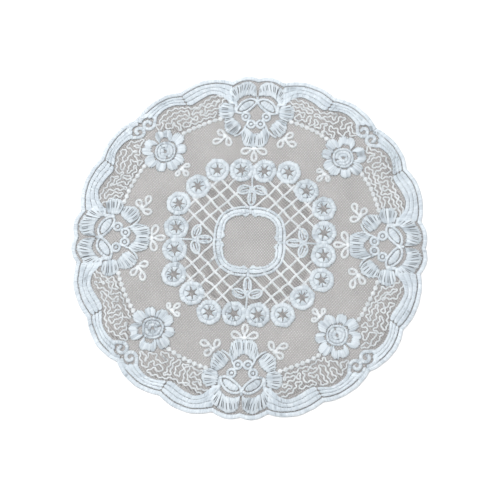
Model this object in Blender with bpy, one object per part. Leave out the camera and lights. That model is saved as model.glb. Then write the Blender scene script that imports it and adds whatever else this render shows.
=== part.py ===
"""Round lace napkin: one flat sheet of net with its embroidery raised on it.

The plan is drawn in millimetres, with the pattern's centre at the origin and north along +Y.
Each motif is drawn once, mirrored where it is double, and turned to the four sides.
The drawn shapes are laid over each other, triangulated as one plan and lifted to their heights.
"""

from collections import namedtuple
from math import atan, atan2, cos, degrees, exp, floor, hypot, pi, radians, sin, sqrt

import bmesh
import bpy
from mathutils import Vector
from mathutils.geometry import delaunay_2d_cdt

MM = 0.001

# Heights above the table
NET_HEIGHT = 1.0
CORD_HEIGHT = 1.6
SATIN_HEIGHT = 2.2

# Levels of the plan, in the order of their heights
NET = 0
CORD = 1
SATIN = 2

# Scalloped edge: notches of one quarter, each with the rise and the steps of the scallop after it
Notch = namedtuple("Notch", "turn radius rise steps")
NOTCHES = (
    Notch(turn=0.0, radius=122.0, rise=2.7, steps=3),
    Notch(turn=8.94, radius=120.5, rise=5.2, steps=4),
    Notch(turn=27.64, radius=122.7, rise=4.9, steps=4),
    Notch(turn=45.0, radius=122.6, rise=4.9, steps=4),
    Notch(turn=62.36, radius=122.7, rise=5.2, steps=4),
    Notch(turn=81.06, radius=120.5, rise=2.7, steps=3),
)
GROOVE_INSET = 2.7
GROOVE_WIDTH = 0.8
GROOVE_START = 0.08

# How the cloth lies: a small sideways pull that grows towards the edge, every 30 degrees from +X
PULL_RADIUS = 120.0
Pull = namedtuple("Pull", "east north")
PULLS = (
    Pull(east=0.5, north=0.6),
    Pull(east=0.6, north=1.2),
    Pull(east=0.6, north=0.6),
    Pull(east=1.5, north=0.0),
    Pull(east=1.8, north=-0.1),
    Pull(east=0.6, north=-0.7),
    Pull(east=-0.2, north=-1.9),
    Pull(east=0.4, north=-1.9),
    Pull(east=0.4, north=-0.3),
    Pull(east=-1.3, north=0.7),
    Pull(east=-2.3, north=0.1),
    Pull(east=-1.1, north=-0.3),
)

# Inner edge of the border band, x and y from the bouquet to the diagonal, for the half right of north
BAND_EDGE = ((13.5, 97.6), (20.5, 103.0), (26.5, 106.8), (35.0, 107.4), (44.0, 104.0),
             (51.0, 99.6), (58.0, 98.4), (66.0, 95.2), (71.5, 90.0), (72.6, 82.0), (75.2, 79.4))

# Roundels: the ring of twenty discs with a star opening
ROUNDEL_SIZE = 17.0
ROUNDEL_SIDES = 10
ROUNDELS_BY_SIDE = ((-25.5, 51.2), (-8.1, 51.7), (8.1, 51.7), (25.5, 51.2))
ROUNDEL_DIAGONAL = 38.3
STAR_REACH = 4.2
STAR_WAIST = 2.0
STAR_SPIN = 13.0
STAR_POINTS = (6, 5)

# Lattice of cords between the ring and the roundels: rows run along the ring, columns away from it
LATTICE_PITCH = 11.2
LATTICE_CORD = 1.5
LATTICE_FIRST = 45.3
LATTICE_ROW_STARTS = (6.0, 11.0, 20.0)
LATTICE_COLUMN_ENDS = (33.6, 36.0, 33.4)
LATTICE_TUCK = 0.5

# Centre ring
RingEdge = namedtuple("RingEdge", "axis diagonal cusp")
RING_OUTSIDE = RingEdge(axis=25.4, diagonal=28.0, cusp=0.0)
RING_INSIDE = RingEdge(axis=18.9, diagonal=21.2, cusp=1.2)
RING_CUSP_SPREAD = 6.0
RING_STEPS = 28
RING_DIAGONAL_TURN = 45.0
RING_GROOVE_INSET = 1.6
RING_GROOVE_WIDTH = 0.8
RING_GROOVE_SPREAD = 26.0
RING_GROOVE_STEPS = 3

# Rose on each diagonal: petals by direction, reach and half width in degrees
ROSE_PLACE = 63.5
PetalPoint = namedtuple("PetalPoint", "share reach")
PETAL_POINTS = (
    PetalPoint(share=-1.0, reach=0.8),
    PetalPoint(share=-0.68, reach=0.97),
    PetalPoint(share=0.0, reach=1.0),
    PetalPoint(share=0.68, reach=0.97),
)
Petal = namedtuple("Petal", "turn reach spread")
ROSE_PETALS = (
    Petal(turn=12.0, reach=15.8, spread=32.0),
    Petal(turn=78.0, reach=15.8, spread=32.0),
    Petal(turn=131.0, reach=15.2, spread=20.0),
    Petal(turn=171.0, reach=15.0, spread=20.0),
    Petal(turn=225.0, reach=14.8, spread=34.0),
    Petal(turn=279.0, reach=15.0, spread=20.0),
    Petal(turn=319.0, reach=15.2, spread=20.0),
)
Crescent = namedtuple("Crescent", "turn spread radius width")
ROSE_CRESCENTS = (
    Crescent(turn=8.0, spread=25.0, radius=8.6, width=2.0),
    Crescent(turn=82.0, spread=25.0, radius=8.6, width=2.0),
)
ROSE_HOLE_SIZE = 2.4

# Open leaf loops: centre, direction of the leaf, length and width, and the eye's share of them
Loop = namedtuple("Loop", "x y turn length width")
LOOP_SIDES = 3
EYE_LENGTH = 0.54
EYE_WIDTH = 0.46
EYE_SHIFT = 0.3
SIDE_SPRIG = (
    Loop(x=24.5, y=79.0, turn=35.0, length=7.0, width=5.0),
    Loop(x=27.0, y=72.8, turn=-12.0, length=7.4, width=5.0),
    Loop(x=18.8, y=72.8, turn=255.0, length=7.4, width=5.0),
)
SIDE_SPRIG_JOINT = (21.3, 76.6)
ROSE_SPRIG = (
    Loop(x=47.6, y=53.4, turn=170.0, length=5.4, width=3.8),
    Loop(x=47.9, y=47.9, turn=225.0, length=6.0, width=4.2),
    Loop(x=53.4, y=47.6, turn=280.0, length=5.4, width=3.8),
)
ROSE_SPRIG_JOINT = (50.8, 50.8)
AXIS_SPRIG = (
    Loop(x=5.6, y=66.6, turn=-22.0, length=8.6, width=5.4),
    Loop(x=-5.6, y=66.6, turn=202.0, length=8.6, width=5.4),
    Loop(x=0.0, y=62.4, turn=270.0, length=8.4, width=4.8),
)
AXIS_SPRIG_JOINT = (0.0, 68.6)
SPRIG_JOINT_SIZE = 3.4

# Sprigs with their joints, and whether a side holds two of them as mirror images
Sprig = namedtuple("Sprig", "loops joint doubled")
SPRIGS = (
    Sprig(loops=SIDE_SPRIG, joint=SIDE_SPRIG_JOINT, doubled=True),
    Sprig(loops=ROSE_SPRIG, joint=ROSE_SPRIG_JOINT, doubled=False),
    Sprig(loops=AXIS_SPRIG, joint=AXIS_SPRIG_JOINT, doubled=False),
)

# Solid leaves inside the lattice, beside each axis
Leaf = namedtuple("Leaf", "x y turn length width")
INNER_LEAVES = (
    Leaf(x=0.0, y=31.2, turn=270.0, length=12.0, width=6.6),
    Leaf(x=5.6, y=37.4, turn=-18.0, length=11.0, width=7.4),
    Leaf(x=-5.6, y=37.4, turn=198.0, length=11.0, width=7.4),
)
INNER_STEM = ((0.0, 35.0), (0.0, 48.0))
INNER_STEM_WIDTH = 1.8

# Bouquet on each axis: raised ovals and the gaps cut back into them, for the right half
Oval = namedtuple("Oval", "x y turn length width")
BOUQUET_OVALS = (
    Oval(x=4.7, y=76.6, turn=78.0, length=15.0, width=10.0),
    Oval(x=15.6, y=83.6, turn=60.0, length=13.4, width=11.0),
    Oval(x=21.4, y=94.2, turn=100.0, length=12.0, width=10.4),
    Oval(x=18.6, y=100.6, turn=60.0, length=10.0, width=9.0),
    Oval(x=7.4, y=100.8, turn=-32.0, length=16.0, width=8.6),
    Oval(x=7.6, y=92.4, turn=90.0, length=7.2, width=6.6),
    Oval(x=3.3, y=86.8, turn=0.0, length=6.6, width=6.0),
)
BOUQUET_SIDES = 9
EYELETS = ((7.6, 92.2), (3.3, 86.8))
EYELET_SIZE = 2.4
Slit = namedtuple("Slit", "x y turn length width bend")
BOUQUET_SLITS = (
    Slit(x=8.0, y=107.0, turn=-26.0, length=11.0, width=1.5, bend=1.6),
    Slit(x=6.9, y=101.4, turn=-34.0, length=10.0, width=1.2, bend=0.8),
    Slit(x=12.4, y=91.0, turn=52.0, length=8.5, width=2.2, bend=0.0),
)
AXIS_GAPS = (
    ((0.0, 90.0), (4.0, 94.6), (0.0, 99.4)),
    ((0.0, 107.6), (1.7, 116.0), (0.0, 117.4)),
    ((0.0, 72.6), (0.8, 76.4), (0.0, 80.2)),
)

# Beaded line between the worked net beside the band and the plain net
BEAD_RADIUS_LINE = 93.2
BEAD_FROM = 16.0
BEAD_TO = 33.4
BEAD_COUNT = 6
BEAD_HALF = 1.7
BEAD_WAIST = 0.7

# Plan points closer than SNAP are one, points nearer than STRAIGHT to a straight run are left out
SNAP = 0.3
STRAIGHT = 0.12
FLAT = 1e-4
PLAN_EPSILON = 1e-4

# Output choice of the triangulation: every triangle inside the hull of the points
WHOLE_HULL = 0

# Bridge laid where two raised patches would touch at one point only
BRIDGE_SIZE = 1.2
BRIDGE_ROUNDS = 4

Patch = namedtuple("Patch", "level outline")


def polar(radius, turn):
    """Point at a radius and a direction in degrees from +X."""
    return (radius * cos(radians(turn)), radius * sin(radians(turn)))


def turned(point, angle):
    """Point turned about the pattern's centre by an angle in degrees."""
    c = cos(radians(angle))
    s = sin(radians(angle))
    return (c * point[0] - s * point[1], s * point[0] + c * point[1])


def mirrored(outline):
    """Outline mirrored across the north axis."""
    return [(-x, y) for x, y in reversed(outline)]


def between(start, end, share):
    """Point on the way from one point to another."""
    return (start[0] + (end[0] - start[0]) * share, start[1] + (end[1] - start[1]) * share)


def arc(start, end, rise, steps):
    """Points of an arc from start up to but without end, bulging to the right of its way."""
    dx = end[0] - start[0]
    dy = end[1] - start[1]
    chord = hypot(dx, dy)
    half = 2.0 * atan(2.0 * rise / chord)
    radius = (chord * chord / 4.0 + rise * rise) / (2.0 * rise)
    points = []
    for step in range(steps):
        angle = -half + 2.0 * half * step / steps
        along = chord / 2.0 + radius * sin(angle)
        out = radius * cos(angle) - (radius - rise)
        points.append((start[0] + (dx * along + dy * out) / chord,
                       start[1] + (dy * along - dx * out) / chord))
    return points


def oval(x, y, turn, length, width, sides=12):
    """Ellipse about a centre, its length turned by an angle in degrees."""
    points = []
    for side in range(sides):
        angle = 2.0 * pi * (side + 0.5) / sides
        px, py = turned((length / 2.0 * cos(angle), width / 2.0 * sin(angle)), turn)
        points.append((x + px, y + py))
    return points


def leaf(x, y, turn, length, width, steps=4):
    """Lens with two pointed ends, its length turned by an angle in degrees."""
    side = [(-length / 2.0 + length * step / steps, width / 2.0 * sin(pi * step / steps))
            for step in range(steps + 1)]
    points = side + [(px, -py) for px, py in reversed(side[1:-1])]
    points = [turned(point, turn) for point in points]
    return [(x + px, y + py) for px, py in points]


def crescent(x, y, turn, length, width, bend, steps=3):
    """Bent slit with pointed ends."""
    upper = []
    lower = []
    for step in range(steps + 1):
        t = step / steps
        along = -length / 2.0 + length * t
        rise = 4.0 * bend * t * (1.0 - t) - bend / 2.0
        half = width / 2.0 * sin(pi * t)
        upper.append((along, rise + half))
        lower.append((along, rise - half))
    points = upper + list(reversed(lower[1:-1]))
    points = [turned(point, turn) for point in points]
    return [(x + px, y + py) for px, py in points]


def strip(path, width):
    """Outline of a cord of even width along an open path."""
    left = []
    right = []
    last = len(path) - 1
    for index, point in enumerate(path):
        before = path[max(index - 1, 0)]
        after = path[min(index + 1, last)]
        dx = after[0] - before[0]
        dy = after[1] - before[1]
        size = hypot(dx, dy)
        nx = -dy / size * width / 2.0
        ny = dx / size * width / 2.0
        left.append((point[0] + nx, point[1] + ny))
        right.append((point[0] - nx, point[1] - ny))
    return left + list(reversed(right))


def scallops():
    """Points of each scallop of the edge without its last corner, anticlockwise."""
    corners = []
    for quarter in range(4):
        for notch in NOTCHES:
            corners.append((polar(notch.radius, notch.turn + 90.0 * quarter), notch))
    runs = []
    for index, (corner, notch) in enumerate(corners):
        following = corners[(index + 1) % len(corners)][0]
        runs.append(arc(corner, following, notch.rise, notch.steps))
    return runs


def edge_outline():
    """Scalloped edge of the whole napkin, anticlockwise."""
    return [point for run in scallops() for point in run]


def inset_point(point, distance):
    """Point moved towards the pattern's centre by a distance."""
    size = hypot(point[0], point[1])
    return (point[0] * (1.0 - distance / size), point[1] * (1.0 - distance / size))


def groove_outlines():
    """Groove inside the rim cord, one bent slot behind each scallop."""
    runs = scallops()
    outlines = []
    for index, run in enumerate(runs):
        whole = run + [runs[(index + 1) % len(runs)][0]]
        outer = [inset_point(point, GROOVE_INSET) for point in whole]
        inner = [inset_point(point, GROOVE_INSET + GROOVE_WIDTH) for point in whole]
        start = between(inner[0], outer[1], GROOVE_START)
        finish = between(inner[-1], outer[-2], GROOVE_START)
        outlines.append([start] + outer[1:-1] + [finish] + list(reversed(inner[1:-1])))
    return outlines


def field_outline():
    """Open net field inside the border band, all the way round."""
    half = [(y, x) for x, y in reversed(BAND_EDGE)]
    diagonal = list(BAND_EDGE) + half
    points = []
    for quarter in range(4):
        points += [turned(point, -90.0 * quarter) for point in diagonal]
    return points


def star(x, y, spin, tips):
    """Star opening in a roundel."""
    points = []
    for tip in range(2 * tips):
        radius = STAR_REACH if tip % 2 == 0 else STAR_WAIST
        px, py = polar(radius, spin + 180.0 * tip / tips)
        points.append((x + px, y + py))
    return points


def roundel_centres():
    """Centres of the roundels of one quarter: the north side and one diagonal."""
    return list(ROUNDELS_BY_SIDE) + [(ROUNDEL_DIAGONAL, ROUNDEL_DIAGONAL)]


def ring_radius(edge, turn):
    """Radius of an edge of the centre ring, a rounded square with a cusp on each axis."""
    squareness = 0.5 - 0.5 * cos(radians(4.0 * turn))
    off_axis = (turn + 45.0) % 90.0 - 45.0
    cusp = edge.cusp * exp(-(off_axis / RING_CUSP_SPREAD) ** 2)
    return edge.axis + (edge.diagonal - edge.axis) * squareness - cusp


def ring_edge(edge):
    """Outline of one edge of the centre ring."""
    turns = [360.0 * step / RING_STEPS for step in range(RING_STEPS)]
    return [polar(ring_radius(edge, turn), turn) for turn in turns]


def ring_groove():
    """Bent groove inside the ring's outer cord on the north-east diagonal."""
    outer = []
    inner = []
    for step in range(RING_GROOVE_STEPS + 1):
        t = step / RING_GROOVE_STEPS
        turn = RING_DIAGONAL_TURN + RING_GROOVE_SPREAD * (2.0 * t - 1.0)
        half = RING_GROOVE_WIDTH / 2.0 * sin(pi * t)
        radius = ring_radius(RING_OUTSIDE, turn) - RING_GROOVE_INSET
        outer.append(polar(radius + half, turn))
        inner.append(polar(radius - half, turn))
    return outer + list(reversed(inner[1:-1]))


def rose_outline():
    """Lobed outline of a rose, petal by petal."""
    points = []
    for petal in ROSE_PETALS:
        for point in PETAL_POINTS:
            px, py = polar(petal.reach * point.reach, petal.turn + petal.spread * point.share)
            points.append((ROSE_PLACE + px, ROSE_PLACE + py))
    return points


def rose_gap(gap, steps=3):
    """Bent opening between a rose's heart and its petals."""
    outer = []
    inner = []
    for step in range(steps + 1):
        t = step / steps
        turn = gap.turn + gap.spread * (2.0 * t - 1.0)
        half = gap.width / 2.0 * sin(pi * t)
        outer.append(polar(gap.radius + half, turn))
        inner.append(polar(gap.radius - half, turn))
    points = outer + list(reversed(inner[1:-1]))
    return [(ROSE_PLACE + px, ROSE_PLACE + py) for px, py in points]


def disc(x, y, size, sides):
    """Round outline about a centre."""
    return oval(x, y, 0.0, size, size, sides)


def sprig_patches(sprig):
    """Three open leaves tied at one joint, and their eyes."""
    raised = [Patch(CORD, disc(*sprig.joint, SPRIG_JOINT_SIZE, 4))]
    eyes = []
    for loop in sprig.loops:
        raised.append(Patch(CORD, leaf(*loop, steps=LOOP_SIDES)))
        shift = polar(EYE_SHIFT, loop.turn)
        eyes.append(Patch(NET, leaf(loop.x + shift[0], loop.y + shift[1], loop.turn,
                                    loop.length * EYE_LENGTH, loop.width * EYE_WIDTH, 2)))
    return raised, eyes


def lattice_strips():
    """Diagonal cords of the north-east quarter."""
    strips = []
    for row, near in enumerate(LATTICE_ROW_STARTS):
        total = LATTICE_FIRST + LATTICE_PITCH * row
        strips.append(strip([(near, total - near), (total - near, near)], LATTICE_CORD))
    for column in range(-2, 3):
        shift = LATTICE_PITCH * column
        low = sqrt(RING_OUTSIDE.axis ** 2 / 2.0 - shift ** 2 / 4.0) - LATTICE_TUCK
        high = LATTICE_COLUMN_ENDS[abs(column)]
        strips.append(strip([(low - shift / 2.0, low + shift / 2.0),
                             (high - shift / 2.0, high + shift / 2.0)], LATTICE_CORD))
    return strips


def bead_line():
    """Line of beads as one toothed strip, for the half right of north."""
    outer = []
    inner = []
    for index in range(2 * BEAD_COUNT + 1):
        turn = 90.0 - (BEAD_FROM + (BEAD_TO - BEAD_FROM) * index / (2.0 * BEAD_COUNT))
        half = BEAD_HALF if index % 2 else BEAD_WAIST
        outer.append(polar(BEAD_RADIUS_LINE + half, turn))
        inner.append(polar(BEAD_RADIUS_LINE - half, turn))
    return outer + list(reversed(inner))


def both(patches):
    """Patches together with their mirror images across the north axis."""
    return patches + [Patch(patch.level, mirrored(patch.outline)) for patch in patches]


def cord_patches():
    """Thin cords of one quarter: lattice, beads, sprigs and stem."""
    patches = [Patch(CORD, outline) for outline in lattice_strips()]
    patches += both([Patch(CORD, bead_line())])
    for sprig in SPRIGS:
        raised = sprig_patches(sprig)[0]
        patches += both(raised) if sprig.doubled else raised
    patches.append(Patch(CORD, strip(INNER_STEM, INNER_STEM_WIDTH)))
    return patches


def satin_patches():
    """Solid satin motifs of one quarter: leaves, roundels, bouquet and rose."""
    patches = [Patch(SATIN, leaf(*row)) for row in INNER_LEAVES]
    patches += [Patch(SATIN, disc(x, y, ROUNDEL_SIZE, ROUNDEL_SIDES)) for x, y in roundel_centres()]
    patches += both([Patch(SATIN, oval(*row, sides=BOUQUET_SIDES)) for row in BOUQUET_OVALS])
    patches.append(Patch(SATIN, rose_outline()))
    return patches


def cut_patches():
    """Openings of one quarter that show the net again."""
    patches = []
    for index, (x, y) in enumerate(roundel_centres()):
        patches.append(Patch(NET, star(x, y, 90.0 + STAR_SPIN * index, STAR_POINTS[index % 2])))
    for sprig in SPRIGS:
        eyes = sprig_patches(sprig)[1]
        patches += both(eyes) if sprig.doubled else eyes
    patches += both([Patch(NET, disc(x, y, EYELET_SIZE, 4)) for x, y in EYELETS])
    patches += both([Patch(NET, crescent(*row)) for row in BOUQUET_SLITS])
    for gap in AXIS_GAPS:
        left = [(-x, y) for x, y in reversed(gap) if x > 0.0]
        patches.append(Patch(NET, list(gap) + left))
    patches += [Patch(NET, rose_gap(gap)) for gap in ROSE_CRESCENTS]
    patches.append(Patch(NET, ring_groove()))
    patches.append(Patch(NET, disc(ROSE_PLACE, ROSE_PLACE, ROSE_HOLE_SIZE, 5)))
    return patches


def lie(point):
    """Point moved by the small pull of the cloth as it lies."""
    x, y = point
    place = degrees(atan2(y, x)) % 360.0 / 360.0 * len(PULLS)
    low = PULLS[int(place) % len(PULLS)]
    high = PULLS[(int(place) + 1) % len(PULLS)]
    blend = 0.5 - 0.5 * cos(pi * (place - int(place)))
    grow = (hypot(x, y) / PULL_RADIUS) ** 2
    east = low.east * (1.0 - blend) + high.east * blend
    north = low.north * (1.0 - blend) + high.north * blend
    return Vector((x + grow * east, y + grow * north))


def all_patches():
    """Every patch of the napkin in the order in which they cover each other."""
    patches = [Patch(SATIN, edge_outline()), Patch(NET, field_outline())]
    for maker in (cord_patches, satin_patches, cut_patches):
        one = maker()
        for quarter in range(4):
            for patch in one:
                patches.append(Patch(patch.level, [turned(p, -90.0 * quarter) for p in patch.outline]))
        if maker is satin_patches:
            patches.append(Patch(SATIN, ring_edge(RING_OUTSIDE)))
            patches.append(Patch(NET, ring_edge(RING_INSIDE)))
    patches += [Patch(NET, outline) for outline in groove_outlines()]
    return [Patch(patch.level, [lie(point) for point in patch.outline]) for patch in patches]


def boxed(patches):
    """Patches with the box around each, to find quickly which of them cover a point."""
    rows = []
    for patch in patches:
        xs = [point[0] for point in patch.outline]
        ys = [point[1] for point in patch.outline]
        rows.append((min(xs), max(xs), min(ys), max(ys), patch))
    return rows


def inside(outline, x, y):
    """Whether a point lies inside a closed outline."""
    within = False
    previous = outline[-1]
    for point in outline:
        if (point[1] > y) != (previous[1] > y):
            cross = (previous[0] - point[0]) * (y - point[1]) / (previous[1] - point[1]) + point[0]
            if x < cross:
                within = not within
        previous = point
    return within


def level_at(rows, x, y):
    """Level of the last patch that covers a point, or None outside the cloth."""
    level = None
    for west, east, south, north, patch in rows:
        if west <= x <= east and south <= y <= north and inside(patch.outline, x, y):
            level = patch.level
        elif level is None:
            return None
    return level


def triangulated(points, edges):
    """Triangles of a plan that keep every given edge."""
    result = delaunay_2d_cdt(points, edges, [], WHOLE_HULL, PLAN_EPSILON, False)
    return result[0], result[2]


def levels_of(verts, faces, rows):
    """Level of every triangle, read at its middle."""
    levels = []
    for face in faces:
        x = sum(verts[index][0] for index in face) / len(face)
        y = sum(verts[index][1] for index in face) / len(face)
        levels.append(level_at(rows, x, y))
    return levels


def sides_by_edge(faces):
    """Triangles on the two sides of every edge."""
    sides = {}
    for number, face in enumerate(faces):
        for a, b in zip(face, face[1:] + face[:1]):
            sides.setdefault((min(a, b), max(a, b)), []).append(number)
    return sides


def touching_corners(faces, levels):
    """Points where raised patches touch at a corner only, each with the level that touches."""
    found = []
    sides = sides_by_edge(faces)
    for level in (CORD, SATIN):
        count = {}
        for edge, pair in sides.items():
            high = [levels[number] is not None and levels[number] >= level for number in pair]
            if len(pair) == 2 and high[0] != high[1]:
                for index in edge:
                    count[index] = count.get(index, 0) + 1
        found += [(index, level) for index, borders in sorted(count.items()) if borders > 2]
    return found


def arranged(patches):
    """Triangles and levels of all patches laid over each other."""
    points = []
    edges = []
    for patch in patches:
        first = len(points)
        count = len(patch.outline)
        points += patch.outline
        edges += [(first + step, first + (step + 1) % count) for step in range(count)]
    verts, faces = triangulated(points, edges)
    return verts, faces, levels_of(verts, faces, boxed(patches))


def border_edges(faces, levels):
    """Edges between triangles of different levels, the cloth's edge among them."""
    edges = []
    for edge, pair in sides_by_edge(faces).items():
        found = [levels[number] for number in pair] + [None] * (2 - len(pair))
        if found[0] != found[1]:
            edges.append(edge)
    return edges


def snapped(verts, edges):
    """Border points with near twins merged, and the edges between them."""
    used = sorted({index for edge in edges for index in edge})
    cells = {}
    kept = []
    place = {}
    for index in used:
        x, y = verts[index]
        column = int(floor(x / SNAP))
        row = int(floor(y / SNAP))
        twin = None
        for i in (column - 1, column, column + 1):
            for j in (row - 1, row, row + 1):
                for number in cells.get((i, j), []):
                    if hypot(kept[number][0] - x, kept[number][1] - y) < SNAP:
                        twin = number
        if twin is None:
            twin = len(kept)
            kept.append(Vector((x, y)))
            cells.setdefault((column, row), []).append(twin)
        place[index] = twin
    short = {(min(place[a], place[b]), max(place[a], place[b])) for a, b in edges if place[a] != place[b]}
    return kept, sorted(short)


def straightened(points, edges):
    """Border without the points that lie on a straight run between two neighbours."""
    neighbours = {}
    for a, b in edges:
        neighbours.setdefault(a, []).append(b)
        neighbours.setdefault(b, []).append(a)
    removed = set()
    for index in sorted(neighbours):
        near = neighbours[index]
        if len(near) != 2 or near[0] == near[1]:
            continue
        a, b = near
        run = points[b] - points[a]
        off = abs(run.x * (points[index].y - points[a].y) - run.y * (points[index].x - points[a].x))
        if run.length > 0.0 and off / run.length < STRAIGHT and b not in neighbours[a]:
            neighbours[a][neighbours[a].index(index)] = b
            neighbours[b][neighbours[b].index(index)] = a
            removed.add(index)
    numbers = {index: number for number, index in
               enumerate(index for index in sorted(neighbours) if index not in removed)}
    kept = [points[index] for index in sorted(numbers)]
    lines = set()
    for index in numbers:
        for other in neighbours[index]:
            if other in numbers:
                lines.add((min(numbers[index], numbers[other]), max(numbers[index], numbers[other])))
    return kept, sorted(lines)


def clean_plan(patches):
    """Plan of the patches with only the points that their borders need."""
    verts, faces, levels = arranged(patches)
    points, edges = snapped(verts, border_edges(faces, levels))
    points, edges = straightened(points, edges)
    verts, faces = triangulated(points, edges)
    return verts, faces, levels_of(verts, faces, boxed(patches))


def plan_of_levels():
    """Plan of the napkin, with a small bridge wherever two patches would touch at one point only."""
    patches = all_patches()
    verts, faces, levels = clean_plan(patches)
    for _ in range(BRIDGE_ROUNDS):
        touching = touching_corners(faces, levels)
        if not touching:
            break
        for index, level in touching:
            x, y = verts[index]
            patches.append(Patch(level, disc(x, y, BRIDGE_SIZE, 4)))
        verts, faces, levels = clean_plan(patches)
    return verts, faces, levels


def seams_on_walls(mesh):
    """Level edges across an upright wall, left where it was raised in two steps."""
    seams = []
    for edge in mesh.edges:
        flat = abs(edge.verts[0].co.z - edge.verts[1].co.z) < FLAT
        upright = all(abs(face.normal.z) < FLAT for face in edge.link_faces)
        if flat and upright and edge.calc_face_angle() < FLAT:
            seams.append(edge)
    return seams


def lifted_mesh(name):
    """Closed mesh of the cloth: the plan lifted to its heights, with a flat underside."""
    verts, faces, levels = plan_of_levels()
    mesh = bmesh.new()
    marks = mesh.faces.layers.int.new("level")
    corners = [mesh.verts.new((x * MM, y * MM, NET_HEIGHT * MM)) for x, y in verts]
    for face, level in zip(faces, levels):
        if level is not None:
            mesh.faces.new([corners[index] for index in face])[marks] = level
    bmesh.ops.delete(mesh, geom=[vert for vert in mesh.verts if not vert.link_faces], context="VERTS")

    rim = [edge for edge in mesh.edges if len(edge.link_faces) == 1]
    lower = bmesh.ops.extrude_edge_only(mesh, edges=rim)["geom"]
    lower_verts = [item for item in lower if isinstance(item, bmesh.types.BMVert)]
    lower_faces = [item for item in lower if isinstance(item, bmesh.types.BMFace)]
    bmesh.ops.translate(mesh, vec=(0.0, 0.0, -NET_HEIGHT * MM), verts=lower_verts)
    for face in lower_faces:
        face[marks] = NET
    open_edges = [edge for edge in mesh.edges if len(edge.link_faces) == 1]
    for face in bmesh.ops.contextual_create(mesh, geom=open_edges)["faces"]:
        face[marks] = NET

    for level, rise in ((CORD, CORD_HEIGHT - NET_HEIGHT), (SATIN, SATIN_HEIGHT - CORD_HEIGHT)):
        region = [face for face in mesh.faces if face[marks] >= level]
        lifted = bmesh.ops.extrude_face_region(mesh, geom=region)["geom"]
        top_faces = [item for item in lifted if isinstance(item, bmesh.types.BMFace)]
        bmesh.ops.translate(mesh, vec=(0.0, 0.0, rise * MM),
                            verts=list({vert for face in top_faces for vert in face.verts}))
        bmesh.ops.delete(mesh, geom=region, context="FACES")
        tops = set(top_faces)
        for face in mesh.faces:
            if face not in tops and face[marks] >= level:
                face[marks] = NET
    bmesh.ops.dissolve_edges(mesh, edges=seams_on_walls(mesh), use_verts=True)
    bmesh.ops.triangulate(mesh, faces=mesh.faces[:])
    bmesh.ops.recalc_face_normals(mesh, faces=mesh.faces[:])
    data = bpy.data.meshes.new(name)
    mesh.to_mesh(data)
    mesh.free()
    return data


def thread_material():
    """Matt bluish white embroidery thread."""
    material = bpy.data.materials.new("lace_thread")
    material.use_nodes = True
    shader = material.node_tree.nodes["Principled BSDF"]
    shader.inputs["Base Color"].default_value = (0.66, 0.71, 0.74, 1.0)
    shader.inputs["Roughness"].default_value = 0.85
    shader.inputs["Metallic"].default_value = 0.0
    return material


def build_napkin():
    """The napkin as one object."""
    data = lifted_mesh("napkin")
    data.materials.append(thread_material())
    napkin = bpy.data.objects.new("napkin", data)
    bpy.context.scene.collection.objects.link(napkin)
    return napkin


for item in list(bpy.data.objects):
    bpy.data.objects.remove(item)
build_napkin()
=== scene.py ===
"""Looks of the round lace napkin: net threads, padding and every stitch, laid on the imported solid.

The pattern is drawn in millimetres in the napkin's own plan, with north along +Y. Each motif is
drawn once, mirrored and turned to the four sides, and moved by the same small pull of the cloth
as the solid. Stitches are copies of one small modelled stitch, joined into one mesh for each piece.
"""

import logging
from dataclasses import dataclass
from enum import Enum
from math import atan2, cos, hypot, pi, radians, sin, sqrt
from typing import NamedTuple, Sequence

import bmesh
import bpy
import numpy as np
from mathutils import Matrix, Vector


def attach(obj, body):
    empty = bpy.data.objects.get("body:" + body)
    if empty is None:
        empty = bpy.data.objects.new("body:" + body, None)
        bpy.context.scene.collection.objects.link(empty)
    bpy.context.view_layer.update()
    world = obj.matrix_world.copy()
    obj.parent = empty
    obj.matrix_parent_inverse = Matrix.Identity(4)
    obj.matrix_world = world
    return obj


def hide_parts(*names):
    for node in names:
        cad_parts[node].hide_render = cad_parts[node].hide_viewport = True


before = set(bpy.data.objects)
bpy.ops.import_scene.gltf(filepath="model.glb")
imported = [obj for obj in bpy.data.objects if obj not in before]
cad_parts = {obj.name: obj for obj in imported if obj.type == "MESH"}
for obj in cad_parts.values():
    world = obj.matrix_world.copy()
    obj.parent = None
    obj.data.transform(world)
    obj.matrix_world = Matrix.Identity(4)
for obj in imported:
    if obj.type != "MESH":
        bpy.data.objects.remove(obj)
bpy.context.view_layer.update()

LOG = logging.getLogger("lace_napkin")
MM = 0.001
ROOT_BODY = "root"
CLOTH_NODE = "napkin"

Point = tuple[float, float]
Path = Sequence[Point]
Cell = tuple[int, int]

# Heights above the table, in millimetres
PAD_FLOOR = 0.3
SATIN_BASE = 0.85
SATIN_RISE = 0.9
CORD_BASE = 0.6
CORD_RISE = 0.75
# Share of the stitches' rise that the padding under them has
PAD_SHARE = 0.45

# Distances between the points of a line and between the steps of padding, in millimetres
LINE_STEP = 0.5
PAD_STEP = 1.6
# A distance from the centre that is past every point of the napkin, in millimetres
BEYOND = 130.0
# Smallest length to divide by, in millimetres
TINY = 1e-6

# Share of the stitches that start a new bundle, drawn together by the thread's pull
BUNDLE_SHARE = 0.5
# Tones: the darkest that a bundle may be; a painted highlight that makes each stitch paler towards its rails;
# painted shade that darkens stitches in grooves and the padding seen between stitches
DARKEST_BUNDLE = -1.05
PAINTED_RAIL_HIGHLIGHT = 1.3
PAINTED_GROOVE_SHADE = -2.0
PAINTED_PAD_SHADE = -2.0
# Unevenness of the spacing of grooves: its size in grooves and its rate in radians a stitch
GROOVE_SWING = 0.22
GROOVE_RATE = 1.3
# Share of its own height that a thread keeps where it dips in at a rail
END_THREAD = 0.35
# Share of its width, squared, that a tapered column keeps at its very ends
BLUNT_END = 0.02


class Notch(NamedTuple):
    """Corner between two scallops of the edge, and the rise of the scallop after it."""

    turn: float
    radius: float
    rise: float


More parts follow.
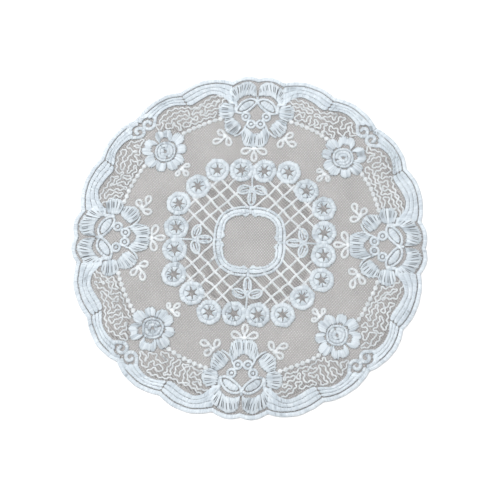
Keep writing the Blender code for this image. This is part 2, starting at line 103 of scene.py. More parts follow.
# The notches of one quarter
NOTCHES = (
    Notch(turn=0.0, radius=122.0, rise=2.7),
    Notch(turn=8.94, radius=120.5, rise=5.2),
    Notch(turn=27.64, radius=122.7, rise=4.9),
    Notch(turn=45.0, radius=122.6, rise=4.9),
    Notch(turn=62.36, radius=122.7, rise=5.2),
    Notch(turn=81.06, radius=120.5, rise=2.7),
)


class Pull(NamedTuple):
    """Sideways pull of the cloth in one direction from the centre."""

    east: float
    north: float


# How the cloth lies: the pull at this radius every 30 degrees from +X, smaller towards the centre
PULL_RADIUS = 120.0
PULLS = (
    Pull(east=0.5, north=0.6),
    Pull(east=0.6, north=1.2),
    Pull(east=0.6, north=0.6),
    Pull(east=1.5, north=0.0),
    Pull(east=1.8, north=-0.1),
    Pull(east=0.6, north=-0.7),
    Pull(east=-0.2, north=-1.9),
    Pull(east=0.4, north=-1.9),
    Pull(east=0.4, north=-0.3),
    Pull(east=-1.3, north=0.7),
    Pull(east=-2.3, north=0.1),
    Pull(east=-1.1, north=-0.3),
)


class Ripple(NamedTuple):
    """One wave of the small unevenness of the work: wave length and size in millimetres."""

    wave: float
    turn: float
    size: float
    phase: float


RIPPLES = (
    Ripple(wave=31.0, turn=20.0, size=0.16, phase=0.4),
    Ripple(wave=23.0, turn=95.0, size=0.14, phase=1.9),
    Ripple(wave=13.0, turn=150.0, size=0.10, phase=3.1),
    Ripple(wave=9.0, turn=60.0, size=0.07, phase=5.2),
)


def lie(plan: np.ndarray) -> np.ndarray:
    """Moves plan points by the pull and the small unevenness of the cloth as it lies.

    Args:
        plan: Points as rows of x and y in millimetres.

    Returns:
        The moved points, in millimetres.
    """
    x = plan[:, 0]
    y = plan[:, 1]
    place = np.degrees(np.arctan2(y, x)) % 360.0 / 360.0 * len(PULLS)
    low = place.astype(int) % len(PULLS)
    high = (low + 1) % len(PULLS)
    blend = (0.5 - 0.5 * np.cos(pi * (place - np.floor(place))))[:, None]
    pulls = np.array(PULLS)
    grow = ((x * x + y * y) / PULL_RADIUS ** 2)[:, None]
    moved = plan + grow * (pulls[low] * (1.0 - blend) + pulls[high] * blend)
    for ripple in RIPPLES:
        c, s = cos(radians(ripple.turn)), sin(radians(ripple.turn))
        swing = np.sin(2.0 * pi * (x * c + y * s) / ripple.wave + ripple.phase) * ripple.size
        moved = moved + np.stack((-s * swing, c * swing), axis=1)
    return moved


def polar(radius: float, turn: float) -> Point:
    """Point at a radius and a direction in degrees from +X."""
    return (radius * cos(radians(turn)), radius * sin(radians(turn)))


def rays(turns: np.ndarray) -> np.ndarray:
    """Unit vectors in directions in degrees from +X."""
    angles = np.radians(turns)
    return np.stack((np.cos(angles), np.sin(angles)), axis=1)


def arc_path(centre: Point, radius: float, start: float, end: float, count: int = 24) -> np.ndarray:
    """Points of an arc about a centre, from one direction to another in degrees."""
    return np.array(centre) + radius * rays(np.linspace(start, end, count))


def smooth(path: Path, closed: bool = False, between: int = 8) -> np.ndarray:
    """Runs a smooth curve through a few points.

    Args:
        path: The points that the curve passes.
        closed: Whether the curve comes back to its first point.
        between: Steps from one point to the next.

    Returns:
        The points of the curve.
    """
    knots = np.array(path, float)
    if closed:
        knots = np.vstack((knots[-1:], knots, knots[:2]))
    else:
        knots = np.vstack((2.0 * knots[:1] - knots[1:2], knots, 2.0 * knots[-1:] - knots[-2:-1]))
    t = np.linspace(0.0, 1.0, between, endpoint=False)[:, None]
    runs = []
    for a, b, c, d in zip(knots[:-3], knots[1:-2], knots[2:-1], knots[3:]):
        runs.append(0.5 * (2.0 * b + (c - a) * t + (2.0 * a - 5.0 * b + 4.0 * c - d) * t ** 2
                           + (3.0 * b - a - 3.0 * c + d) * t ** 3))
    runs.append(knots[-2:-1])
    return np.vstack(runs)


def path_length(path: np.ndarray) -> float:
    """Length of a path in millimetres."""
    return float(np.hypot(*np.diff(path, axis=0).T).sum())


def evenly(rails: Sequence[np.ndarray], count: int) -> list[np.ndarray]:
    """Sets new points on one rail or several, even along the line midway between them.

    Args:
        rails: The rails, with equally many points.
        count: Number of points wanted on each.

    Returns:
        The rails with their new points.
    """
    steps = sum(np.hypot(*np.diff(rail, axis=0).T) for rail in rails) / len(rails)
    along = np.concatenate(([0.0], np.cumsum(steps)))
    wanted = np.linspace(0.0, along[-1], count)
    return [np.stack([np.interp(wanted, along, side) for side in rail.T], axis=1) for rail in rails]


def resampled(path: np.ndarray, count: int) -> np.ndarray:
    """Path as a number of points that lie evenly along it."""
    return evenly((path,), count)[0]


def paired(inner: np.ndarray, outer: np.ndarray, count: int) -> tuple[np.ndarray, np.ndarray]:
    """Two rails as points that face each other.

    Args:
        inner: The first rail.
        outer: The second rail.
        count: Number of points on each.

    Returns:
        Both rails, even along the line midway between them where their points answer each other,
        and otherwise each even along itself.
    """
    if len(inner) != len(outer):
        return resampled(inner, count), resampled(outer, count)
    near, far = evenly((inner, outer), count)
    return near, far


def sideways(path: np.ndarray) -> np.ndarray:
    """Unit vectors to the left of a path's way at each of its points."""
    way = np.gradient(path, axis=0)
    way /= np.maximum(np.hypot(way[:, 0], way[:, 1]), 1e-9)[:, None]
    return np.stack((-way[:, 1], way[:, 0]), axis=1)


def turned(path: np.ndarray, angle: float) -> np.ndarray:
    """Path turned about the pattern's centre by an angle in degrees."""
    c, s = cos(radians(angle)), sin(radians(angle))
    return path @ np.array(((c, s), (-s, c)))


def mirrored(path: np.ndarray) -> np.ndarray:
    """Path mirrored across the north axis."""
    return path * np.array((-1.0, 1.0))


def leaf_outline(x: float, y: float, turn: float, length: float, width: float,
                 full_end: float = 0.0) -> np.ndarray:
    """Closed outline of a leaf with rounded sides, fuller towards its far end by a share."""
    t = np.linspace(0.0, 2.0 * pi, 33)
    along = -np.cos(t)
    out = np.sign(np.sin(t)) * np.abs(np.sin(t)) ** 1.15 * (1.0 + full_end * along) * width / 2.0
    shape = turned(np.stack((along * length / 2.0, out), axis=1), turn)
    return shape + np.array((x, y))


def scallop_arc(start: Point, end: Point, rise: float, count: int = 33) -> np.ndarray:
    """Points of a scallop that bulges to the right of its way, ends included."""
    a, b = np.array(start), np.array(end)
    chord = hypot(*(b - a))
    half = 2.0 * atan2(2.0 * rise, chord)
    radius = (chord * chord / 4.0 + rise * rise) / (2.0 * rise)
    angle = np.linspace(-half, half, count)
    along = (chord / 2.0 + radius * np.sin(angle))[:, None]
    out = (radius * np.cos(angle) - (radius - rise))[:, None]
    way = (b - a) / chord
    return a + way * along + np.array((way[1], -way[0])) * out


def scallops() -> list[np.ndarray]:
    """The twenty-four scallops of the edge, anticlockwise from +X."""
    corners = []
    for quarter in range(4):
        for notch in NOTCHES:
            corners.append((polar(notch.radius, notch.turn + 90.0 * quarter), notch.rise))
    arcs = []
    for index, (corner, rise) in enumerate(corners):
        arcs.append(scallop_arc(corner, corners[(index + 1) % len(corners)][0], rise))
    return arcs


def inset(path: np.ndarray, distance: float) -> np.ndarray:
    """Path moved towards the pattern's centre by a distance."""
    size = np.hypot(path[:, 0], path[:, 1])[:, None]
    return path * (1.0 - distance / size)


class Symmetry(Enum):
    """How often a motif that is drawn once appears on the napkin."""

    SIDES = "four sides"
    SIDES_DOUBLED = "four sides, each with a mirror image"
    ONCE = "as drawn"


def repeated(path: np.ndarray, symmetry: Symmetry) -> list[np.ndarray]:
    """All copies of a path that a symmetry asks for."""
    if symmetry is Symmetry.ONCE:
        return [path]
    halves = [path, mirrored(path)] if symmetry is Symmetry.SIDES_DOUBLED else [path]
    return [turned(half, -90.0 * quarter) for quarter in range(4) for half in halves]


class StitchForm(Enum):
    """Profile of a stitch from rail to rail: even stations along it, each with its share of the rise."""

    SATIN = (0.15, 0.9, 1.0, 0.9, 0.15)
    BAND = (0.52, 0.92, 1.0, 0.92, 0.52)
    SLIT = (0.15, 0.85, 0.8, 0.1, 0.1, 0.85, 0.15)
    RUNNING = (0.0, 1.0, 1.0, 0.0)


def taken(form: bmesh.types.BMesh) -> tuple[np.ndarray, list[list[int]]]:
    """Points and faces of a modelled form, which is then freed."""
    form.verts.index_update()
    points = np.array([vert.co for vert in form.verts])
    faces = [[vert.index for vert in face.verts] for face in form.faces]
    form.free()
    return points, faces


@dataclass(frozen=True)
class Stitch:
    """One small modelled stitch: a thread that rolls up, crosses and rolls down from rail to rail."""

    form: StitchForm
    roll: float = 0.42
    widest_roll: float = 0.18

    def shape(self) -> tuple[np.ndarray, list[list[int]]]:
        """Models the stitch in a unit cell.

        Returns:
            Points as share across the pitch, station from rail to rail and share of the thread's
            own height, and the faces between them.
        """
        places = np.linspace(0.0, 1.0, len(self.form.value))
        cell = bmesh.new()
        bmesh.ops.create_circle(cell, cap_ends=True, segments=3, radius=0.5)
        bmesh.ops.rotate(cell, verts=cell.verts, matrix=Matrix.Rotation(pi / 2.0, 3, "X"))
        corners = sorted(cell.verts, key=lambda vert: vert.co.z)
        for vert, spot in zip(corners, ((-0.03, 0.0), (1.03, 0.0), (0.5, 1.0))):
            vert.co = Vector((spot[0], 0.0, spot[1]))
        front = list(cell.faces)
        for before, place in zip(places, places[1:]):
            grown = bmesh.ops.extrude_face_region(cell, geom=front)
            verts = [item for item in grown["geom"] if isinstance(item, bmesh.types.BMVert)]
            bmesh.ops.translate(cell, verts=verts, vec=(0.0, place - before, 0.0))
            if before > 0.0:
                bmesh.ops.delete(cell, geom=front, context="FACES_ONLY")
            front = [item for item in grown["geom"] if isinstance(item, bmesh.types.BMFace)]
        bmesh.ops.recalc_face_normals(cell, faces=cell.faces)
        return taken(cell)

    def crown(self, station: np.ndarray) -> np.ndarray:
        """Share of the rise at stations from 0 to 1."""
        return np.interp(station, np.linspace(0.0, 1.0, len(self.form.value)), self.form.value)

    def place(self, station: np.ndarray, length: np.ndarray) -> np.ndarray:
        """Share of the way from rail to rail at stations from 0 to 1, for stitches of given lengths.

        Args:
            station: Stations along the stitch.
            length: Lengths of the stitches in millimetres.

        Returns:
            The shares, with the rolled ends equally long in millimetres on every stitch.
        """
        inner = 1.0 / (len(self.form.value) - 1)
        end = np.minimum(self.roll / np.maximum(length, TINY), self.widest_roll)
        rolled = np.minimum(station, 1.0 - station) / inner
        flat = end + (rolled - 1.0) * (0.5 - end) / max(0.5 / inner - 1.0, TINY)
        near = np.where(rolled <= 1.0, rolled * end, flat)
        return np.where(station <= 0.5, near, 1.0 - near)


@dataclass
class Cells:
    """Places of many stitches: the corners on the two rails, and each stitch's heights and tone."""

    corners: np.ndarray
    base: np.ndarray
    rise: np.ndarray
    thread: np.ndarray
    tone: np.ndarray

    @staticmethod
    def joined(groups: Sequence["Cells"]) -> "Cells":
        """All stitches of several groups as one."""
        return Cells(*(np.concatenate([getattr(group, name) for group in groups])
                       for name in ("corners", "base", "rise", "thread", "tone")))

    def picked(self, chosen: np.ndarray) -> "Cells":
        """The stitches that a mask chooses."""
        return Cells(self.corners[chosen], self.base[chosen], self.rise[chosen], self.thread[chosen],
                     self.tone[chosen])


@dataclass(frozen=True)
class Hand:
    """How stitches are worked between two rails."""

    pitch: float = 0.66
    base: float = SATIN_BASE
    rise: float = SATIN_RISE
    thread: float = 0.2
    fill: float = 1.0
    loose: float = 0.12
    ragged: float = 0.1
    groove_pitch: float = 0.0
    groove_depth: float = 0.35
    slit: bool = False
    gather: float = 0.7
    tone: float = 0.0

    def low(self, count: int) -> np.ndarray:
        """Which of a row of stitches lie in a groove."""
        if not self.groove_pitch:
            return np.zeros(count, bool)
        number = np.arange(count + 1)
        grooves = number * self.pitch / self.groove_pitch + GROOVE_SWING * np.sin(GROOVE_RATE * number)
        return np.diff(np.floor(grooves)) != 0.0


SATIN_HAND = Hand()
CORD_HAND = Hand(pitch=0.72, base=CORD_BASE, rise=CORD_RISE, ragged=0.05)
# Spread of the rise and tone from stitch to stitch, and of the rise from bundle to bundle
RISE_SPREAD = 0.03
TONE_SPREAD = 0.35
BUNDLE_RISE = 0.1


def stitched(inner: np.ndarray, outer: np.ndarray, hand: Hand, dice: np.random.Generator) -> Cells:
    """Lays stitches from one rail to the other.

    Args:
        inner: The rail where each stitch starts.
        outer: The rail where it ends.
        hand: Pitch, heights and unevenness of the stitches.
        dice: Source of the seeded unevenness.

    Returns:
        The places of the stitches.
    """
    reach = 0.5 * (path_length(inner) + path_length(outer))
    count = max(2, int(round(reach / hand.pitch)))
    a, b = paired(inner, outer, count + 1)
    span = (b - a) / np.maximum(np.hypot(*(b - a).T), TINY)[:, None]
    middle_a, middle_b = 0.5 * (a[1:] + a[:-1]), 0.5 * (b[1:] + b[:-1])
    half_a, half_b = 0.5 * (a[1:] - a[:-1]), 0.5 * (b[1:] - b[:-1])
    loose = hand.loose * dice.standard_normal((count, 2))
    middle_a = middle_a + half_a * loose[:, :1]
    middle_b = middle_b + half_b * loose[:, 1:]
    ends = hand.ragged * dice.standard_normal((count, 2))
    mean_span = 0.5 * (span[1:] + span[:-1])
    middle_a = middle_a + mean_span * ends[:, :1]
    middle_b = middle_b + mean_span * ends[:, 1:]
    corners = np.stack((middle_a - half_a * hand.fill, middle_a + half_a * hand.fill,
                        middle_b - half_b * hand.fill, middle_b + half_b * hand.fill), axis=1)
    bundle = np.cumsum(dice.random(count) < BUNDLE_SHARE)
    gather = dice.standard_normal(count + 1)[bundle]
    rise = hand.rise * (1.0 + RISE_SPREAD * dice.standard_normal(count) + BUNDLE_RISE * hand.gather * gather)
    tone = hand.tone + TONE_SPREAD * dice.standard_normal(count) + hand.gather * gather
    tone = np.maximum(tone, DARKEST_BUNDLE)
    if not hand.slit:
        low = hand.low(count)
        rise = np.where(low, rise * (1.0 - hand.groove_depth), rise)
        # Stitches that lie in a groove get painted shade
        tone = np.where(low, tone + PAINTED_GROOVE_SHADE, tone)
    return Cells(corners, np.full(count, hand.base), rise, np.full(count, hand.thread), tone)


class ClothMesh:
    """Builds one object out of many joined copies of small modelled forms."""

    def __init__(self, name: str) -> None:
        """Starts an empty piece with a name."""
        self.name = name
        self.points: list[np.ndarray] = []
        self.faces: list[np.ndarray] = []
        self.sizes: list[np.ndarray] = []
        self.tones: list[np.ndarray] = []
        self.maps: list[np.ndarray] = []
        self.count = 0

    def add(self, plan: np.ndarray, height: np.ndarray, faces: Sequence[Sequence[int]],
            tones: np.ndarray | float, maps: np.ndarray) -> None:
        """Adds copies of one form, moved to where the cloth lies.

        Args:
            plan: Plan positions in millimetres, one block of rows for each copy.
            height: Height of every point, in the same blocks.
            faces: The faces of one copy, as places in its block.
            tones: Tone of every point, in the same blocks, or one for all.
            maps: Thread coordinates of every point, in the same blocks.
        """
        copies, size = plan.shape[:2]
        flat = np.array([index for face in faces for index in face])
        lengths = np.array([len(face) for face in faces])
        shifts = self.count + size * np.arange(copies)
        self.faces.append((flat[None, :] + shifts[:, None]).ravel())
        self.sizes.append(np.tile(lengths, copies))
        tall = np.broadcast_to(height, (copies, size)).ravel()
        self.points.append(np.column_stack((lie(plan.reshape(-1, 2)), tall)))
        self.tones.append(np.broadcast_to(tones, (copies, size)).ravel())
        self.maps.append(maps.reshape(-1, 2))
        self.count += copies * size

    def add_stitches(self, cells: Cells, stitch: Stitch) -> None:
        """Adds a stitch at each place, turned so that its faces point out."""
        shape, faces = stitch.shape()
        corners = cells.corners
        way = corners[:, 1] - corners[:, 0] + corners[:, 3] - corners[:, 2]
        span = corners[:, 2] - corners[:, 0] + corners[:, 3] - corners[:, 1]
        flipped = (way[:, 0] * span[:, 1] - way[:, 1] * span[:, 0]) < 0.0
        corners = np.where(flipped[:, None, None], corners[:, [1, 0, 3, 2]], corners)
        reach = np.hypot(*(corners[:, 2] - corners[:, 0]).T)
        u = shape[None, :, 0:1]
        v = stitch.place(shape[None, :, 1], reach[:, None])[:, :, None]
        plan = ((corners[:, None, 0] * (1 - u) + corners[:, None, 1] * u) * (1 - v)
                + (corners[:, None, 2] * (1 - u) + corners[:, None, 3] * u) * v)
        crown = stitch.crown(shape[:, 1])[None, :]
        height = (cells.base[:, None] + cells.rise[:, None] * crown
                  + cells.thread[:, None] * shape[None, :, 2] * (END_THREAD + (1.0 - END_THREAD) * crown))
        maps = np.stack(np.broadcast_arrays(shape[None, :, 0], v[:, :, 0] * reach[:, None]), axis=2)
        # Painted highlight: each stitch is paler towards both rails
        edge = PAINTED_RAIL_HIGHLIGHT * np.abs(2.0 * shape[:, 1] - 1.0) ** 2
        self.add(plan, height, faces, cells.tone[:, None] + edge[None, :], maps)

    def add_padding(self, pad: bmesh.types.BMesh) -> None:
        """Adds a modelled padding whose points are in plan millimetres, and frees it."""
        points, faces = taken(pad)
        plan = points[None, :, :2]
        # The padding is painted in the dark hollow colour, as shade seen between the stitches
        self.add(plan, points[None, :, 2], faces, PAINTED_PAD_SHADE, plan)

    def finished(self, finish: "Finish") -> bpy.types.Object:
        """Makes the object, in metres, with its tone attribute, thread coordinates and material.

        Args:
            finish: The finish whose material the piece wears.

        Returns:
            The new object, riding on the frame.
        """
        mesh = bpy.data.meshes.new(self.name)
        points = np.concatenate(self.points) * MM
        loops = np.concatenate(self.faces).astype(np.int32)
        sizes = np.concatenate(self.sizes).astype(np.int32)
        mesh.vertices.add(len(points))
        mesh.vertices.foreach_set("co", points.astype(np.float32).ravel())
        mesh.loops.add(len(loops))
        mesh.loops.foreach_set("vertex_index", loops)
        mesh.polygons.add(len(sizes))
        starts = np.concatenate(([0], np.cumsum(sizes)[:-1])).astype(np.int32)
        mesh.polygons.foreach_set("loop_start", starts)
        mesh.polygons.foreach_set("loop_total", sizes)
        mesh.polygons.foreach_set("use_smooth", np.ones(len(sizes), bool))
        mesh.update(calc_edges=True)
        # The tone attribute holds the stitches' own tone, the painted highlight at the rails and the painted
        # shade in grooves and padding
        tone = mesh.attributes.new("tone", "FLOAT", "POINT")
        tone.data.foreach_set("value", np.concatenate(self.tones).astype(np.float32))
        layer = mesh.uv_layers.new(name="thread")
        layer.data.foreach_set("uv", np.concatenate(self.maps)[loops].astype(np.float32).ravel())
        mesh.validate()
        piece = bpy.data.objects.new(self.name, mesh)
        bpy.context.scene.collection.objects.link(piece)
        mesh.materials.append(finish.material())
        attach(piece, ROOT_BODY)
        LOG.info("%s: %d triangles", self.name, int((sizes - 2).sum()))
        return piece


def padding(inner: np.ndarray, outer: np.ndarray, hand: Hand, stitch: Stitch) -> bmesh.types.BMesh:
    """Models the padding under the stitches between two rails.

    Args:
        inner: The rail where the stitches start.
        outer: The rail where they end.
        hand: Heights of the stitches that lie on it.
        stitch: The stitch whose crown it follows.

    Returns:
        A closed crowned form in plan millimetres.
    """
    longer = max(path_length(inner), path_length(outer))
    steps = max(2, int(round(longer / PAD_STEP)))
    a, b = paired(inner, outer, steps + 1)
    reach = np.hypot(*(b - a).T)
    rows = len(stitch.form.value) - 1
    pad = bmesh.new()
    bmesh.ops.create_grid(pad, x_segments=steps, y_segments=rows, size=0.5)
    for vert in pad.verts:
        column = int(round((vert.co.x + 0.5) * steps))
        station = round((vert.co.y + 0.5) * rows) / rows
        place = float(stitch.place(np.array(station), reach[column]))
        spot = a[column] * (1.0 - place) + b[column] * place
        crown = float(stitch.crown(np.array(station)))
        vert.co = Vector((spot[0], spot[1], hand.base + hand.rise * PAD_SHARE * crown))
    under = bmesh.ops.extrude_face_region(pad, geom=list(pad.faces), use_keep_orig=True)
    for item in under["geom"]:
        if isinstance(item, bmesh.types.BMVert):
            item.co.z = PAD_FLOOR
    bmesh.ops.recalc_face_normals(pad, faces=pad.faces)
    return pad


class Needlework:
    """One piece of embroidery: rails are given to it, and it lays the padding and the stitches."""

    def __init__(self, name: str, seed: int) -> None:
        """Starts a piece with its name and the seed of its unevenness."""
        self.cloth = ClothMesh(name)
        self.dice = np.random.default_rng(seed)
        self.groups: dict[StitchForm, list[Cells]] = {form: [] for form in StitchForm}

    def work(self, inner: np.ndarray, outer: np.ndarray, hand: Hand = SATIN_HAND,
             form: StitchForm = StitchForm.SATIN, symmetry: Symmetry = Symmetry.ONCE,
             padded: bool = True) -> None:
        """Works stitches between two rails, at every place that the symmetry asks for.

        Args:
            inner: The rail where each stitch starts.
            outer: The rail where it ends.
            hand: How the stitches are worked.
            form: Their cross profile.
            symmetry: How often the motif appears.
            padded: Whether padding lies under the stitches.
        """
        for a, b in zip(repeated(inner, symmetry), repeated(outer, symmetry)):
            cells = stitched(a, b, hand, self.dice)
            if hand.slit:
                low = hand.low(len(cells.base))
                self.groups[StitchForm.SLIT].append(cells.picked(low))
                cells = cells.picked(~low)
            self.groups[form].append(cells)
            if padded:
                self.cloth.add_padding(padding(a, b, hand, Stitch(form)))

    def column(self, path: np.ndarray, width: float, hand: Hand = CORD_HAND,
               form: StitchForm = StitchForm.SATIN, symmetry: Symmetry = Symmetry.ONCE,
               taper: float = 0.0, padded: bool = True) -> None:
        """Works a column of stitches across a path.

        Args:
            path: The middle line of the column.
            width: Its width in millimetres.
            hand: How the stitches are worked.
            form: Their cross profile.
            symmetry: How often the column appears.
            taper: Length over which each end narrows to a round point.
            padded: Whether padding lies under the stitches.
        """
        reach = path_length(path)
        line = resampled(path, max(3, int(round(reach / LINE_STEP)) + 1))
        half = np.full(len(line), width / 2.0)
        if taper > 0.0:
            along = np.linspace(0.0, reach, len(line))
            near = np.minimum(np.minimum(along, reach - along) / taper, 1.0)
            half = half * np.sqrt(np.maximum(1.0 - (1.0 - near) ** 2, BLUNT_END))
        out = sideways(line) * half[:, None]
        self.work(line + out, line - out, hand, form, symmetry, padded)

    def dot(self, centre: np.ndarray, size: float, hand: Hand, symmetry: Symmetry,
            way: np.ndarray = np.array((1.0, 0.0))) -> None:
        """Works a round dot of stitches that lie across a way.

        Args:
            centre: Its centre.
            size: Its diameter in millimetres.
            hand: How the stitches are worked.
            symmetry: How often the dot appears.
            way: Unit vector across the stitches.
        """
        half = way * size / 2.0
        self.column(np.array((centre - half, centre + half)), size, hand, symmetry=symmetry, taper=size / 2.0)

    def finished(self, finish: "Finish") -> bpy.types.Object:
        """Joins all stitches and padding of the piece into its object."""
        for form, groups in self.groups.items():
            if groups:
                self.cloth.add_stitches(Cells.joined(groups), Stitch(form))
        return self.cloth.finished(finish)


class Socket(NamedTuple):
    """Name and kind of one socket of a shader group."""

    name: str
    kind: str


def new_group(name: str, inputs: Sequence[Socket], outputs: Sequence[Socket]) -> bpy.types.NodeTree:
    """Starts a shader group with named inputs and outputs.

    Args:
        name: Name of the group.
        inputs: Its input sockets.
        outputs: Its output sockets.

    Returns:
        The group, holding its input and output nodes.
    """
    group = bpy.data.node_groups.new(name, "ShaderNodeTree")
    for socket in inputs:
        group.interface.new_socket(name=socket.name, in_out="INPUT", socket_type=socket.kind)
    for socket in outputs:
        group.interface.new_socket(name=socket.name, in_out="OUTPUT", socket_type=socket.kind)
    group.nodes.new("NodeGroupInput").name = "in"
    group.nodes.new("NodeGroupOutput").name = "out"
    return group


def twist_group() -> bpy.types.NodeTree:
    """Shader group of the fine twisted filaments that run along a thread."""
    found = bpy.data.node_groups.get("thread_twist")
    if found:
        return found
    group = new_group("thread_twist",
                      (Socket("Thread", "NodeSocketVector"), Socket("Filaments", "NodeSocketFloat")),
                      (Socket("Shade", "NodeSocketFloat"), Socket("Height", "NodeSocketFloat"),
                       Socket("Roughness", "NodeSocketFloat")))
    nodes, links = group.nodes, group.links
    turn = nodes.new("ShaderNodeMapping")
    turn.inputs["Rotation"].default_value = (0.0, 0.0, radians(28.0))
    links.new(nodes["in"].outputs["Thread"], turn.inputs["Vector"])
    wave = nodes.new("ShaderNodeTexWave")
    wave.bands_direction = "X"
    wave.inputs["Distortion"].default_value = 0.6
    wave.inputs["Detail"].default_value = 1.0
    links.new(turn.outputs["Vector"], wave.inputs["Vector"])
    links.new(nodes["in"].outputs["Filaments"], wave.inputs["Scale"])
    # Shade: painted shade, darker where the filaments dip
    shade = nodes.new("ShaderNodeMapRange")
    shade.inputs["To Min"].default_value = 0.9
    shade.inputs["To Max"].default_value = 1.0
    links.new(wave.outputs["Fac"], shade.inputs["Value"])
    rough = nodes.new("ShaderNodeMapRange")
    rough.inputs["To Min"].default_value = 0.72
    rough.inputs["To Max"].default_value = 0.52
    links.new(wave.outputs["Fac"], rough.inputs["Value"])
    links.new(shade.outputs["Result"], nodes["out"].inputs["Shade"])
    links.new(wave.outputs["Fac"], nodes["out"].inputs["Height"])
    links.new(rough.outputs["Result"], nodes["out"].inputs["Roughness"])
    return group


@dataclass(frozen=True)
class Finish:
    """A thread finish: the tones of one thread, a painted shade colour for the hollows between stitches, and
    its sheen.
    """

    name: str
    light: tuple[float, float, float]
    shade: tuple[float, float, float]
    painted_hollow_shade: tuple[float, float, float]
    filaments: float
    tone_swing: float
    sheen: float
    bump: float
    cloud: float = 55.0

    def material(self) -> bpy.types.Material:
        """The material of the finish, built once."""
        found = bpy.data.materials.get(self.name)
        if found:
            return found
        material = bpy.data.materials.new(self.name)
        material.use_nodes = True
        nodes, links = material.node_tree.nodes, material.node_tree.links
        shader = nodes["Principled BSDF"]
        shader.inputs["Sheen Weight"].default_value = self.sheen
        shader.inputs["Sheen Roughness"].default_value = 0.5
        shader.inputs["Specular IOR Level"].default_value = 0.25
        place = nodes.new("ShaderNodeTexCoord")
        cloud = nodes.new("ShaderNodeTexNoise")
        cloud.inputs["Scale"].default_value = self.cloud
        cloud.inputs["Detail"].default_value = 3.0
        links.new(place.outputs["Object"], cloud.inputs["Vector"])
        tone = nodes.new("ShaderNodeAttribute")
        tone.attribute_name = "tone"
        swing = nodes.new("ShaderNodeMath")
        swing.operation = "MULTIPLY_ADD"
        swing.inputs[1].default_value = self.tone_swing
        links.new(tone.outputs["Fac"], swing.inputs[0])
        links.new(cloud.outputs["Fac"], swing.inputs[2])
        # Ramp from the painted shade of the hollows between stitches, through the shade tone, to the light
        # tone
        colour = nodes.new("ShaderNodeValToRGB")
        colour.color_ramp.elements[0].position = 0.02
        colour.color_ramp.elements[0].color = (*self.painted_hollow_shade, 1.0)
        colour.color_ramp.elements[1].position = 0.75
        colour.color_ramp.elements[1].color = (*self.light, 1.0)
        colour.color_ramp.elements.new(0.22).color = (*self.shade, 1.0)
        links.new(swing.outputs["Value"], colour.inputs["Fac"])
        thread = nodes.new("ShaderNodeUVMap")
        thread.uv_map = "thread"
        twist = nodes.new("ShaderNodeGroup")
        twist.node_tree = twist_group()
        twist.inputs["Filaments"].default_value = self.filaments
        links.new(thread.outputs["UV"], twist.inputs["Thread"])
        tint = nodes.new("ShaderNodeMix")
        tint.data_type = "RGBA"
        tint.blend_type = "MULTIPLY"
        tint.inputs["Factor"].default_value = 1.0
        links.new(colour.outputs["Color"], tint.inputs["A"])
        links.new(twist.outputs["Shade"], tint.inputs["B"])
        bump = nodes.new("ShaderNodeBump")
        bump.inputs["Strength"].default_value = self.bump
        bump.inputs["Distance"].default_value = 0.00008
        links.new(twist.outputs["Height"], bump.inputs["Height"])
        links.new(tint.outputs["Result"], shader.inputs["Base Color"])
        links.new(twist.outputs["Roughness"], shader.inputs["Roughness"])
        links.new(bump.outputs["Normal"], shader.inputs["Normal"])
        return material


SATIN_THREAD = Finish(name="satin_thread", light=(0.80, 0.865, 0.915), shade=(0.58, 0.65, 0.71),
                      painted_hollow_shade=(0.22, 0.24, 0.26), filaments=3.0, tone_swing=0.26, sheen=0.25, bump=0.5)
CORD_THREAD = Finish(name="cord_thread", light=(0.86, 0.895, 0.92), shade=(0.70, 0.74, 0.77),
                     painted_hollow_shade=(0.26, 0.28, 0.30), filaments=3.0, tone_swing=0.24, sheen=0.25, bump=0.5)
# The net thread is grey: partly its own tone, partly painted shade that stands in for the shade in and under
# the net
NET_THREAD = Finish(name="net_thread", light=(0.475, 0.462, 0.46), shade=(0.385, 0.376, 0.374),
                    painted_hollow_shade=(0.30, 0.29, 0.285), filaments=4.0, tone_swing=0.1, sheen=0.1, bump=0.3,
                    cloud=40.0)
# Darker net thread: painted shade for the shaded openings between the raised work
SHADE_NET_THREAD = Finish(name="shade_net_thread", light=(0.35, 0.34, 0.335), shade=(0.27, 0.265, 0.26),
                          painted_hollow_shade=(0.20, 0.195, 0.19), filaments=4.0, tone_swing=0.1, sheen=0.1, bump=0.3,
                          cloud=40.0)


